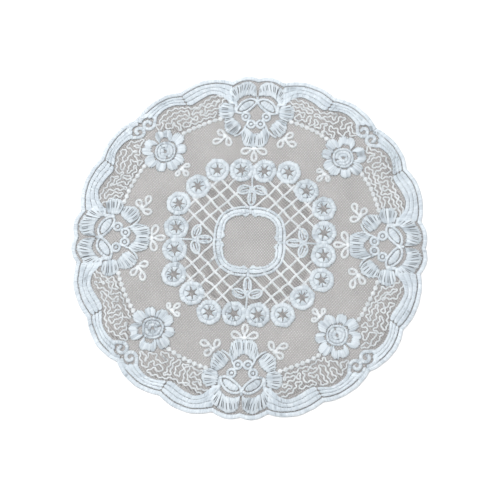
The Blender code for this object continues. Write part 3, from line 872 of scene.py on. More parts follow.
@dataclass
class Net:
    """Ground of fine net: two families of crossing threads and the twist at each crossing."""

    across: float = 1.95
    along: float = 2.3
    thread: float = 0.9
    low: float = 0.3
    high: float = 0.52
    depth: float = 0.26
    hem: float = 1.2
    step: float = 9.0
    # Where the denser, darker net of painted shade lies: its reaches, pitches and heights
    lattice_reach: float = 46.2
    lattice_start: float = 24.6
    lattice_pitch: float = 1.7
    star_reach: float = 5.2
    star_pitch: float = 1.05
    shade_net_low: float = 0.44
    shade_net_high: float = 0.66
    knot_margin: float = 0.8
    knot_width: float = 0.62
    knot_length: float = 1.15
    knot_lift: float = 0.12
    knot_depth: float = 0.42

    def outline(self) -> np.ndarray:
        """Edge of the net, hidden under the rim cord."""
        return inset(np.vstack([run[:-1] for run in scallops()]), self.hem)

    def slant(self) -> tuple[float, float]:
        """Lean of the threads in radians, and the distance from thread to thread."""
        return (atan2(self.along, self.across),
                self.across * self.along / hypot(self.across, self.along))

    def spans(self, normal: np.ndarray, shift: float, edges: list[np.ndarray]) -> list[tuple[float, float]]:
        """Stretches of one straight thread that lie inside some outlines.

        Args:
            normal: Unit vector across the thread.
            shift: Distance of the thread from the centre.
            edges: Closed outlines; a smaller one inside a larger one cuts a hole in it.

        Returns:
            Start and end of each stretch along the thread.
        """
        way = np.array((normal[1], -normal[0]))
        found = []
        for edge in edges:
            side = edge @ normal - shift
            along = edge @ way
            following = np.roll(side, -1)
            crossing = (side > 0.0) != (following > 0.0)
            share = side[crossing] / (side[crossing] - following[crossing])
            found.append(along[crossing] + share * (np.roll(along, -1)[crossing] - along[crossing]))
        met = np.sort(np.concatenate(found))
        return list(zip(met[0::2], met[1::2]))

    def family(self, cloth: ClothMesh, turn: float, pitch: float, height: float,
               edges: list[np.ndarray], start: float = 0.0) -> None:
        """Adds all threads that lean one way.

        Args:
            cloth: The mesh that takes them.
            turn: Direction of the threads in radians.
            pitch: Distance from thread to thread.
            height: Height of their undersides.
            edges: Outlines that the threads fill.
            start: Distance of the first thread from the centre.
        """
        normal = np.array((-sin(turn), cos(turn)))
        reach = int(BEYOND / pitch)
        by_steps: dict[int, list[tuple[float, float, float]]] = {}
        for index in range(-reach, reach + 1):
            shift = start + index * pitch
            for near, far in self.spans(normal, shift, edges):
                steps = max(1, int((far - near) / self.step))
                by_steps.setdefault(steps, []).append((shift, near, far))
        for steps, threads in by_steps.items():
            self.threads(cloth, np.array(threads), steps, normal, height)

    def threads(self, cloth: ClothMesh, rows: np.ndarray, steps: int, normal: np.ndarray,
                height: float) -> None:
        """Adds straight threads that have the same number of steps.

        Args:
            cloth: The mesh that takes them.
            rows: Distance from the centre, start and end of each thread.
            steps: Steps along each thread.
            normal: Unit vector across the threads.
            height: Height of their undersides.
        """
        way = np.array((normal[1], -normal[0]))
        bar, faces = self.bar(steps)
        along = rows[:, 1:2] + (rows[:, 2:3] - rows[:, 1:2]) * bar[None, :, 0]
        off = rows[:, 0:1] + bar[None, :, 1] * self.thread
        plan = along[:, :, None] * way + off[:, :, None] * normal
        maps = np.stack(np.broadcast_arrays(bar[None, :, 1] + 0.5, along), axis=2)
        cloth.add(plan, height + bar[None, :, 2] * self.depth, faces, 0.0, maps)

    def bar(self, steps: int) -> tuple[np.ndarray, list[list[int]]]:
        """Unit thread as a closed bar: along, across and up.

        Args:
            steps: Steps along the thread.

        Returns:
            Its points and its faces.
        """
        bar = bmesh.new()
        bmesh.ops.create_circle(bar, cap_ends=True, segments=4, radius=0.5)
        for vert, spot in zip(list(bar.verts), ((-0.5, 0.1), (-0.2, 0.9), (0.2, 0.9), (0.5, 0.1))):
            vert.co = Vector((0.0, spot[0], spot[1]))
        front = list(bar.faces)
        for step in range(steps):
            grown = bmesh.ops.extrude_face_region(bar, geom=front, use_keep_orig=step == 0)
            verts = [item for item in grown["geom"] if isinstance(item, bmesh.types.BMVert)]
            bmesh.ops.translate(bar, verts=verts, vec=(1.0 / steps, 0.0, 0.0))
            if step:
                bmesh.ops.delete(bar, geom=[face for face in front if face.is_valid], context="FACES_ONLY")
            front = [item for item in grown["geom"] if isinstance(item, bmesh.types.BMFace)]
        bmesh.ops.recalc_face_normals(bar, faces=bar.faces)
        return taken(bar)

    def knots(self, cloth: ClothMesh, edge: np.ndarray) -> None:
        """Adds the small twist where two threads cross."""
        knot = bmesh.new()
        bmesh.ops.create_cone(knot, cap_ends=True, segments=4, radius1=0.5, radius2=0.0, depth=1.0)
        bmesh.ops.rotate(knot, verts=knot.verts, matrix=Matrix.Rotation(pi / 4.0, 3, "Z"))
        shape, faces = taken(knot)
        count = int(BEYOND / min(self.across, self.along)) * 2
        i, j = np.meshgrid(np.arange(-count, count + 1), np.arange(-count, count + 1))
        even = (i + j) % 2 == 0
        spots = np.stack((i[even] * self.across / 2.0, j[even] * self.along / 2.0), axis=1)
        radius = np.hypot(spots[:, 0], spots[:, 1])
        turn = np.arctan2(spots[:, 1], spots[:, 0])
        order = np.argsort(np.arctan2(edge[:, 1], edge[:, 0]))
        limit = np.interp(turn, np.arctan2(edge[order, 1], edge[order, 0]),
                          np.hypot(edge[order, 0], edge[order, 1]), period=2.0 * pi)
        spots = spots[radius < limit - self.knot_margin]
        plan = spots[:, None, :] + shape[None, :, :2] * np.array((self.knot_width, self.knot_length))
        height = self.high + self.knot_lift + shape[None, :, 2] * self.knot_depth
        cloth.add(plan, height, faces, 0.0, np.broadcast_to(shape[None, :, :2], plan.shape))

    def build(self) -> bpy.types.Object:
        """Makes the net as one piece."""
        cloth = ClothMesh("net_ground")
        edge = self.outline()
        lean, pitch = self.slant()
        self.family(cloth, lean, pitch, self.low, [edge])
        self.family(cloth, -lean, pitch, self.high, [edge])
        self.knots(cloth, edge)
        return cloth.finished(NET_THREAD)

    def build_shade_net(self) -> bpy.types.Object:
        """Makes a denser net of darker threads under the lattice, stars and wandering lines: painted shade
        for the shaded openings there.
        """
        cloth = ClothMesh("shade_net")
        lattice = [arc_path((0.0, 0.0), radius, 0.0, 357.0, 120)
                   for radius in (self.lattice_start, self.lattice_reach)]
        stars = [arc_path(centre, self.star_reach, 0.0, 345.0, 24) for centre in Roundels().centres()]
        fields = repeated(WanderingLines().outline(), Symmetry.SIDES_DOUBLED)
        lean, pitch = self.slant()
        for side, height in ((1.0, self.shade_net_low), (-1.0, self.shade_net_high)):
            self.family(cloth, side * pi / 4.0, self.lattice_pitch, height, lattice)
            self.family(cloth, side * pi / 4.0, self.star_pitch, height, stars)
            self.family(cloth, side * lean, pitch, height, fields, pitch / 2.0)
        return cloth.finished(SHADE_NET_THREAD)


class Row(NamedTuple):
    """One row of the border band, as shares of the way from its outer to its inner edge."""

    start: float
    end: float
    rise: float


@dataclass
class BorderBand:
    """Scalloped border: the rim cord and three rows of satin behind each scallop."""

    rim_width: float = 3.0
    groove: float = 0.62
    rows: tuple[Row, ...] = (Row(0.0, 0.315, 0.82), Row(0.325, 0.65, 0.95), Row(0.66, 1.0, 0.88))
    side_edge: Path = ((18.0, 101.6), (20.6, 102.9), (23.2, 105.0), (26.0, 107.1), (29.0, 107.9),
                       (32.5, 108.2), (35.5, 107.2), (39.0, 105.4), (42.5, 103.2), (45.5, 101.0),
                       (48.0, 99.6), (50.8, 98.8))
    corner_edge: Path = ((51.5, 99.2), (55.0, 98.8), (59.5, 98.6), (63.5, 97.2), (67.5, 94.6),
                         (70.8, 91.2), (72.6, 87.6))
    side_span: tuple[float, float] = (0.0, 1.0)
    corner_span: tuple[float, float] = (0.0, 0.88)
    scroll_centre: Point = (77.6, 83.7)
    scroll_reach: float = 4.4
    row_end: float = 0.012
    row_blunt: float = 0.98
    row_points: int = 40
    scroll_foot: Path = ((73.4, 89.4), (73.0, 87.0))
    scroll_start: float = 165.0
    scroll_end: float = 560.0
    scroll_points: int = 46
    scroll_shrink: float = 0.74
    scroll_bend: float = 1.1
    scroll_width: float = 2.6
    corner_inner: Path = ((74.6, 88.8), (78.0, 89.2), (81.0, 87.4), (82.4, 84.4))
    corner_outer: Path = ((77.8, 93.6), (81.4, 91.0), (84.0, 87.8), (84.6, 84.6))

    def rim(self, work: Needlework) -> None:
        """Works the rim cord all the way round."""
        edge = np.vstack([run[:-1] for run in scallops()] + [scallops()[0][:1]])
        hand = Hand(pitch=0.72, rise=0.75, base=0.75, ragged=0.07, fill=1.15, gather=0.35)
        work.work(inset(edge, self.rim_width), edge, hand, StitchForm.SATIN)

    def band_rows(self, work: Needlework, run: np.ndarray, span: tuple[float, float], edge: Path) -> None:
        """Works the rows between a scallop and the inner edge of its band."""
        count = len(run)
        low, high = int(round(span[0] * (count - 1))), int(round(span[1] * (count - 1)))
        outer = resampled(inset(run[low:high + 1], self.rim_width + self.groove), self.row_points)
        inner = resampled(smooth(edge), self.row_points)
        along = np.linspace(0.0, 1.0, self.row_points)
        near = np.minimum(np.minimum(along, 1.0 - along) / self.row_end, 1.0)
        rounded = np.sqrt(1.0 - (1.0 - near) ** 2 * self.row_blunt)[:, None]
        for row in self.rows:
            middle = outer + (inner - outer) * (row.start + row.end) / 2.0
            half = (inner - outer) * (row.end - row.start) / 2.0 * rounded
            hand = Hand(pitch=0.66, rise=row.rise, fill=1.15, gather=0.3, tone=-0.5)
            work.work(middle + half, middle - half, hand, StitchForm.BAND, Symmetry.SIDES_DOUBLED)

    def scroll(self, work: Needlework) -> None:
        """Works the scroll that ends the band on both sides of each diagonal."""
        turns = np.linspace(self.scroll_start, self.scroll_end, self.scroll_points)
        shrink = self.scroll_shrink * np.linspace(0.0, 1.0, self.scroll_points) ** self.scroll_bend
        reach = self.scroll_reach * (1.0 - shrink)
        path = np.array(self.scroll_centre) + rays(turns) * reach[:, None]
        path = smooth(np.vstack((np.array(self.scroll_foot), path)), between=3)
        work.column(path, self.scroll_width, Hand(pitch=0.7, rise=0.8, ragged=0.05),
                    symmetry=Symmetry.SIDES_DOUBLED, taper=1.0)

    def corner_fill(self, work: Needlework) -> None:
        """Works the short column between the scrolls and the diagonal notch."""
        work.work(smooth(self.corner_inner), smooth(self.corner_outer), Hand(pitch=0.66, rise=0.88),
                  symmetry=Symmetry.SIDES_DOUBLED)

    def build(self) -> list[bpy.types.Object]:
        """Makes the rim and the rows as two pieces."""
        rim = Needlework("border_rim", 11)
        self.rim(rim)
        rows = Needlework("border_rows", 12)
        arcs = scallops()
        self.band_rows(rows, arcs[4][::-1], self.side_span, self.side_edge)
        self.band_rows(rows, arcs[3][::-1], self.corner_span, self.corner_edge)
        self.scroll(rows)
        self.corner_fill(rows)
        return [rim.finished(SATIN_THREAD), rows.finished(SATIN_THREAD)]


@dataclass
class Roundels:
    """Twenty discs of radial satin with a star opening."""

    side_places: Path = ((-25.5, 51.2), (-8.1, 51.7), (8.1, 51.7), (25.5, 51.2))
    diagonal_place: Point = (38.3, 38.3)
    radius: float = 8.7
    seam: float = 5.4
    waist: float = 2.3
    reach: float = 4.7
    slit: float = 8.0
    rim_swing: float = 0.22
    rim_lobes: float = 7.0
    seam_swing: float = 0.12
    seam_lobes: float = 6.0
    overlap: float = 0.1

    def opening(self, turns: np.ndarray, spin: float, tips: int) -> np.ndarray:
        """Radius of the star opening in each direction in degrees."""
        off = (turns - spin + 180.0 / tips) % (360.0 / tips) - 180.0 / tips
        lobe = 0.5 - 0.5 * np.cos(np.radians(turns - spin) * tips)
        return self.waist + (self.reach - self.waist) * np.exp(-(off / self.slit) ** 2) - 0.25 * lobe

    def disc(self, work: Needlework, centre: np.ndarray, spin: float, tips: int) -> None:
        """Works one roundel."""
        turns = np.linspace(0.0, 360.0, 145)
        out = rays(turns)
        rim = self.radius + self.rim_swing * np.cos(np.radians(turns * self.rim_lobes + spin * 3.0))
        middle = self.seam + self.seam_swing * np.cos(np.radians(turns * self.seam_lobes))
        star = centre + out * self.opening(turns, spin, tips)[:, None]
        seam = centre + out * middle[:, None]
        edge = centre + out * rim[:, None]
        work.work(star, seam + out * self.overlap, Hand(pitch=0.56, rise=0.84, groove_pitch=5.4))
        work.work(seam, edge, Hand(pitch=0.7, ragged=0.16, gather=0.6))

    def centres(self) -> list[np.ndarray]:
        """Centres of the twenty roundels, quarter by quarter."""
        places = np.array((*self.side_places, self.diagonal_place))
        return [centre for quarter in range(4) for centre in turned(places, -90.0 * quarter)]

    def build(self) -> bpy.types.Object:
        """Makes the ring of roundels as one piece."""
        work = Needlework("roundels", 21)
        for number, centre in enumerate(self.centres()):
            quarter, index = divmod(number, len(self.side_places) + 1)
            tips = 6 if (index + quarter) % 4 else 5
            self.disc(work, centre, 90.0 + 17.0 * index + 31.0 * quarter, tips)
        return work.finished(SATIN_THREAD)


@dataclass
class Lattice:
    """Diagonal cords between the centre ring and the roundels."""

    pitch: float = 11.2
    width: float = 1.75
    first: float = 45.3
    row_starts: tuple[float, ...] = (6.0, 11.0, 20.0)
    column_ends: tuple[float, ...] = (33.6, 36.0, 33.4)
    ring_axis: float = 25.4
    wander: float = 0.2
    wander_step: float = 3.6
    crossing_lift: float = 0.08
    overlap: float = 0.5

    def uneven(self, path: np.ndarray, work: Needlework) -> np.ndarray:
        """A straight cord, bent a little by the pull of its neighbours."""
        spots = resampled(path, max(3, int(path_length(path) / self.wander_step)))
        spots[1:-1] += work.dice.normal(0.0, self.wander, (len(spots) - 2, 2))
        return smooth(spots)

    def build(self) -> bpy.types.Object:
        """Makes all cords of the lattice as one piece."""
        work = Needlework("lattice_cords", 31)
        for row, near in enumerate(self.row_starts):
            total = self.first + self.pitch * row
            path = self.uneven(np.array(((near, total - near), (total - near, near))), work)
            work.column(path, self.width, CORD_HAND, symmetry=Symmetry.SIDES)
        hand = Hand(pitch=0.72, base=CORD_BASE, rise=CORD_RISE + self.crossing_lift, ragged=0.05)
        for column in range(-2, 3):
            shift = self.pitch * column
            low = sqrt(self.ring_axis ** 2 / 2.0 - shift ** 2 / 4.0) - self.overlap
            high = self.column_ends[abs(column)]
            half = shift / 2.0
            path = np.array(((low - half, low + half), (high - half, high + half)))
            work.column(self.uneven(path, work), self.width, hand, symmetry=Symmetry.SIDES)
        return work.finished(CORD_THREAD)


class Bulge(NamedTuple):
    """Small lobe of the ring's inner edge: its distance from the axis in degrees, and its size."""

    away: float
    size: float


@dataclass
class CentreRing:
    """Ring of four bent bands with a thin outer cord, round the open middle."""

    axis_outside: float = 25.4
    diagonal_outside: float = 28.0
    cord_width: float = 2.0
    groove: float = 0.35
    axis_inside: float = 18.2
    diagonal_inside: float = 20.9
    row_split: float = 0.42
    bulges: tuple[Bulge, ...] = (Bulge(away=11.0, size=1.5), Bulge(away=24.0, size=0.6))
    bulge_spread: float = 4.4
    band_start: float = 2.2
    band_end: float = 87.8
    tip_start: float = 1.6
    tip_end: float = 88.4
    tip_reach: float = 4.0
    inner_shift: float = 0.4
    seam: float = 0.05
    knot_place: float = 21.6
    knot_inward: float = 2.2
    knot_outward: float = 2.8
    knot_width: float = 2.0

    def radius(self, turns: np.ndarray, axis: float, diagonal: float) -> np.ndarray:
        """Radius of a rounded square in each direction in degrees."""
        squareness = 0.5 - 0.5 * np.cos(np.radians(4.0 * turns))
        return axis + (diagonal - axis) * squareness

    def build(self) -> bpy.types.Object:
        """Makes the ring as one piece."""
        work = Needlework("centre_ring", 41)
        turns = np.linspace(0.0, 360.0, 181)
        out = rays(turns)
        outside = self.radius(turns, self.axis_outside, self.diagonal_outside)
        cord = Hand(pitch=0.7, rise=0.75, ragged=0.06)
        work.work(out * (outside - self.cord_width)[:, None], out * outside[:, None], cord)
        turns = np.linspace(self.band_start, self.band_end, 61)
        out = rays(turns)
        near = np.minimum(turns - self.tip_start, self.tip_end - turns) / self.tip_reach
        round_end = np.sqrt(np.clip(1.0 - (1.0 - np.minimum(near, 1.0)) ** 2, 0.0, 1.0))
        outer = self.radius(turns, self.axis_outside, self.diagonal_outside) - self.cord_width - self.groove
        inner = self.radius(turns, self.axis_inside, self.diagonal_inside) + self.inner_shift
        axis = np.minimum(turns, 90.0 - turns)
        for bulge in self.bulges:
            inner = inner - bulge.size * np.exp(-((axis - bulge.away) / self.bulge_spread) ** 2)
        middle = 0.5 * (outer + inner)
        half = 0.5 * (outer - inner) * round_end
        near_rail, far_rail = middle - half, middle + half
        split = near_rail + (far_rail - near_rail) * self.row_split
        band = Hand(ragged=0.14, fill=1.1, gather=0.5)
        for low, high in ((near_rail, split - self.seam), (split + self.seam, far_rail)):
            work.work(out * low[:, None], out * high[:, None], band, StitchForm.BAND, Symmetry.SIDES)
        knot = np.array(((0.0, self.knot_place - self.knot_inward),
                         (0.0, self.knot_place + self.knot_outward)))
        work.column(knot, self.knot_width, Hand(rise=0.8), symmetry=Symmetry.SIDES, taper=1.2)
        return work.finished(SATIN_THREAD)


class Loop(NamedTuple):
    """Open leaf loop: its centre, direction, length and width."""

    x: float
    y: float
    turn: float
    length: float
    width: float


class Sprig(NamedTuple):
    """Three open leaves and the point that joins them."""

    loops: tuple[Loop, ...]
    joint: Point
    symmetry: Symmetry


@dataclass
class Sprigs:
    """Small sprigs of open leaves on the plain net."""

    cord: float = 1.95
    joint_size: float = 3.6
    spare: float = 0.5
    fullness: float = 0.3
    stalk_overlap: float = 0.6
    sprigs: tuple[Sprig, ...] = (
        Sprig((Loop(24.5, 79.0, 35.0, 7.0, 5.0), Loop(27.0, 72.8, -12.0, 7.4, 5.0),
               Loop(18.8, 72.8, 255.0, 7.4, 5.0)), (21.3, 76.6), Symmetry.SIDES_DOUBLED),
        Sprig((Loop(47.6, 53.4, 170.0, 5.4, 3.8), Loop(47.9, 47.9, 225.0, 6.0, 4.2),
               Loop(53.4, 47.6, 280.0, 5.4, 3.8)), (50.8, 50.8), Symmetry.SIDES),
        Sprig((Loop(5.6, 66.6, -22.0, 8.6, 5.4), Loop(-5.6, 66.6, 202.0, 8.6, 5.4),
               Loop(0.0, 62.4, 270.0, 8.4, 4.8)), (0.0, 68.6), Symmetry.SIDES),
    )

    def build(self) -> bpy.types.Object:
        """Makes all sprigs as one piece."""
        work = Needlework("leaf_sprigs", 51)
        for sprig in self.sprigs:
            for loop in sprig.loops:
                path = leaf_outline(loop.x, loop.y, loop.turn, loop.length + self.spare - self.cord,
                                    loop.width + self.spare - self.cord, self.fullness)
                work.column(path, self.cord, CORD_HAND, symmetry=sprig.symmetry)
                foot = loop.length / 2.0 - self.stalk_overlap
                tip = np.array((loop.x, loop.y)) - np.array(polar(foot, loop.turn))
                stalk = np.array((sprig.joint, tip))
                if path_length(stalk) > self.cord:
                    work.column(stalk, self.cord, CORD_HAND, symmetry=sprig.symmetry)
            work.dot(np.array(sprig.joint), self.joint_size, CORD_HAND, sprig.symmetry)
        return work.finished(CORD_THREAD)


@dataclass
class InnerLeaves:
    """Trefoil of outlined leaves inside the lattice on each axis, and its stem."""

    leaves: tuple[Loop, ...] = (
        Loop(0.0, 31.2, 270.0, 12.0, 6.6),
        Loop(5.6, 37.4, -18.0, 11.0, 7.4),
        Loop(-5.6, 37.4, 198.0, 11.0, 7.4),
    )
    cord: float = 1.6
    stem: Path = ((0.0, 35.0), (0.0, 48.5))
    stem_width: float = 1.4
    vein_shift: float = 0.95
    vein_share: float = 0.27
    vein_width: float = 1.3

    def build(self) -> bpy.types.Object:
        """Makes the four trefoils as one piece."""
        work = Needlework("inner_leaves", 61)
        for leaf in self.leaves:
            path = leaf_outline(leaf.x, leaf.y, leaf.turn, leaf.length - self.cord, leaf.width - self.cord)
            work.column(path, self.cord, Hand(pitch=0.7, rise=0.85, ragged=0.06, tone=0.5),
                        symmetry=Symmetry.SIDES)
            way = turned(np.array(((1.0, 0.0),)), leaf.turn)[0]
            side = np.array((-way[1], way[0]))
            centre = np.array((leaf.x, leaf.y))
            for shift in (-self.vein_shift, self.vein_shift):
                middle = centre + side * shift
                reach = leaf.length * self.vein_share
                vein = np.array((middle - way * reach, middle + way * reach))
                work.column(vein, self.vein_width, Hand(pitch=0.7, rise=0.7, ragged=0.06),
                            symmetry=Symmetry.SIDES, taper=2.0)
        work.column(np.array(self.stem), self.stem_width, CORD_HAND, symmetry=Symmetry.SIDES)
        return work.finished(SATIN_THREAD)


class Petal(NamedTuple):
    """Petal of a rose: its direction, half width in degrees, reach, the opening at its foot, its lobes."""

    turn: float
    spread: float
    reach: float
    opening: float
    lobes: int


class Coil(NamedTuple):
    """Bent column of a rose's heart: its radius, width and directions in degrees."""

    radius: float
    width: float
    start: float
    end: float


@dataclass
class Roses:
    """Rose on each diagonal: a coiled heart, dark openings and seven petals."""

    centre: Point = (63.5, 63.5)
    petals: tuple[Petal, ...] = (
        Petal(turn=11.5, spread=29.5, reach=16.6, opening=2.5, lobes=2),
        Petal(turn=78.5, spread=29.5, reach=16.6, opening=2.5, lobes=2),
        Petal(turn=129.5, spread=20.5, reach=16.6, opening=1.0, lobes=1),
        Petal(turn=169.0, spread=18.5, reach=15.2, opening=0.8, lobes=1),
        Petal(turn=225.0, spread=35.5, reach=15.6, opening=0.3, lobes=2),
        Petal(turn=281.0, spread=18.5, reach=15.2, opening=0.8, lobes=1),
        Petal(turn=320.5, spread=20.5, reach=16.6, opening=1.0, lobes=1),
    )
    coils: tuple[Coil, ...] = (
        Coil(radius=2.3, width=2.6, start=20.0, end=380.0),
        Coil(radius=4.5, width=2.4, start=205.0, end=555.0),
        Coil(radius=6.6, width=1.8, start=-110.0, end=250.0),
    )
    heart: float = 7.9
    squareness: float = 0.05
    dent: float = 0.09
    dent_width: float = 0.16
    shoulder: float = 0.27

    def petal(self, work: Needlework, petal: Petal) -> None:
        """Works one petal as a fan of long stitches with a worked edge."""
        share = np.linspace(-1.0, 1.0, 41)
        out = rays(petal.turn + petal.spread * share)
        dent = self.dent * np.exp(-(share / self.dent_width) ** 2) if petal.lobes == 2 else 0.0
        reach = petal.reach * (1.0 - self.shoulder * np.abs(share) ** 4 - dent)
        inside = self.heart + petal.opening * np.clip(2.4 - 3.0 * np.abs(share), 0.0, 1.0)
        inner = np.array(self.centre) + out * inside[:, None]
        outer = np.array(self.centre) + out * reach[:, None]
        work.work(inner, outer, Hand(pitch=0.6, ragged=0.3, gather=0.9), symmetry=Symmetry.SIDES)

    def coil(self, work: Needlework, coil: Coil) -> None:
        """Works one bent column of the heart, a little squared."""
        turns = np.linspace(coil.start, coil.end, 40)
        reach = coil.radius * (1.0 + self.squareness * (0.5 - 0.5 * np.cos(4.0 * np.radians(turns))))
        path = np.array(self.centre) + rays(turns) * reach[:, None]
        work.column(path, coil.width, Hand(pitch=0.64, ragged=0.12, gather=0.6, tone=-0.4),
                    symmetry=Symmetry.SIDES, taper=0.8)

    def build(self) -> bpy.types.Object:
        """Makes the four roses as one piece."""
        work = Needlework("roses", 71)
        for petal in self.petals:
            self.petal(work, petal)
        for coil in self.coils:
            self.coil(work, coil)
        return work.finished(SATIN_THREAD)


class Fan(NamedTuple):
    """Petal worked as a fan: the rail where its stitches start and the rail where they end."""

    inner: Path
    outer: Path
    groove: float


class Bent(NamedTuple):
    """Bent column: its middle line and width."""

    path: Path
    width: float
    taper: float


@dataclass
class Bouquets:
    """Bouquet on each axis: fans of petals, two bent leaves and two eyelets in each half."""

    fans: tuple[Fan, ...] = (
        Fan(((0.6, 107.4), (3.2, 108.5), (7.4, 109.0), (10.6, 107.8), (12.9, 105.9)),
            ((0.9, 112.4), (1.8, 116.4), (4.7, 118.8), (9.0, 119.5), (15.4, 116.4)), 1.8),
        Fan(((13.1, 105.8), (14.6, 103.6), (15.6, 100.8)),
            ((15.8, 116.0), (19.6, 113.2), (21.8, 109.0), (21.0, 102.4)), 1.8),
        Fan(((0.3, 79.4), (1.8, 80.0), (3.6, 81.4), (5.8, 83.4), (8.4, 84.2)),
            ((0.3, 70.4), (2.2, 69.6), (5.2, 69.8), (8.4, 71.8), (10.2, 78.8)), 1.9),
        Fan(((9.9, 83.6), (11.4, 86.4), (13.8, 89.0), (17.0, 91.2)),
            ((13.6, 79.0), (17.0, 77.6), (20.8, 80.0), (22.6, 84.4), (22.4, 89.4)), 1.8),
        Fan(((17.2, 91.4), (16.2, 93.8), (16.3, 97.0), (17.2, 100.4)),
            ((22.6, 89.6), (26.4, 91.4), (27.7, 95.4), (27.0, 99.4), (24.0, 102.4)), 1.8),
    )
    columns: tuple[Bent, ...] = (
        Bent(((7.0, 84.6), (9.2, 81.4), (12.0, 78.6), (15.6, 76.9)), 1.5, 0.8),
        Bent(((14.6, 94.8), (15.4, 98.0), (15.6, 102.4), (20.6, 102.0)), 2.4, 1.0),
        Bent(((4.9, 90.0), (6.0, 87.4), (8.2, 84.0)), 1.5, 0.8),
    )
    axis_columns: tuple[Bent, ...] = (
        Bent(((0.0, 101.8), (0.0, 107.6)), 2.0, 0.9),
        Bent(((0.0, 69.4), (0.0, 72.2)), 1.8, 0.9),
        Bent(((0.0, 77.0), (0.0, 79.6)), 1.6, 0.9),
    )
    leaf_edge: Path = ((0.6, 103.4), (3.2, 99.8), (7.0, 96.6), (11.2, 95.0), (14.2, 95.8), (14.0, 99.0),
                       (11.2, 103.0), (6.8, 105.7), (2.4, 105.6))
    leaf_cord: float = 1.9
    leaf_heart: Path = ((2.6, 103.5), (7.5, 101.0), (12.6, 97.0))
    leaf_heart_width: float = 5.0
    eyelets: Path = ((7.4, 92.4), (3.4, 86.8))
    eyelet_radius: float = 2.7
    eyelet_cord: float = 2.0
    eyelet_heart: float = 2.5

    def leaf(self, work: Needlework) -> None:
        """Works the two large leaves: a corded edge round a filled heart."""
        work.column(smooth(self.leaf_edge, closed=True), self.leaf_cord,
                    Hand(pitch=0.66, rise=0.92, ragged=0.06, tone=0.4), symmetry=Symmetry.SIDES_DOUBLED)
        heart = Hand(pitch=0.66, rise=0.85, ragged=0.16, gather=0.35)
        work.column(smooth(self.leaf_heart), self.leaf_heart_width, heart, symmetry=Symmetry.SIDES_DOUBLED,
                    taper=5.2)

    def eyelet(self, work: Needlework, place: Point) -> None:
        """Works one eyelet: a corded ring round a small filled disc."""
        work.column(arc_path(place, self.eyelet_radius, 0.0, 360.0, 33), self.eyelet_cord,
                    Hand(pitch=0.6, rise=0.88, ragged=0.05, tone=0.5), symmetry=Symmetry.SIDES_DOUBLED)
        work.dot(np.array(place), self.eyelet_heart, Hand(pitch=0.6, rise=0.7, ragged=0.08),
                 Symmetry.SIDES_DOUBLED)

    def build(self) -> bpy.types.Object:
        """Makes the four bouquets as one piece."""
        work = Needlework("bouquets", 81)
        for fan in self.fans:
            hand = Hand(pitch=0.56, rise=0.9, groove_pitch=fan.groove, slit=True, ragged=0.3, gather=0.95)
            work.work(smooth(fan.inner), smooth(fan.outer), hand, StitchForm.SATIN, Symmetry.SIDES_DOUBLED)
        for bent in self.columns:
            work.column(smooth(bent.path), bent.width, Hand(pitch=0.66, rise=0.88, ragged=0.08, tone=0.3),
                        symmetry=Symmetry.SIDES_DOUBLED, taper=bent.taper)
        self.leaf(work)
        for place in self.eyelets:
            self.eyelet(work, place)
        for bent in self.axis_columns:
            work.column(np.array(bent.path), bent.width, Hand(pitch=0.6, rise=0.86),
                        symmetry=Symmetry.SIDES, taper=bent.taper)
        return work.finished(SATIN_THREAD)


@dataclass
class BeadLines:
    """Lines of round satin beads between the worked net and the plain net."""

    radius: float = 93.2
    start: float = 16.0
    end: float = 33.6
    count: int = 8
    size: float = 3.5

    def build(self) -> bpy.types.Object:
        """Makes all bead lines as one piece."""
        work = Needlework("bead_lines", 91)
        hand = Hand(pitch=0.6, base=0.6, rise=0.85, ragged=0.05)
        for turn in np.linspace(self.start, self.end, self.count):
            centre = np.array(polar(self.radius, 90.0 - turn))
            way = np.array((centre[1], -centre[0])) / self.radius
            work.dot(centre, self.size, hand, Symmetry.SIDES_DOUBLED, way)
        line = arc_path((0.0, 0.0), self.radius, 90.0 - self.start, 90.0 - self.end)
        work.column(line, 1.2, Hand(pitch=0.8, base=0.5, rise=0.5), symmetry=Symmetry.SIDES_DOUBLED)
        return work.finished(CORD_THREAD)


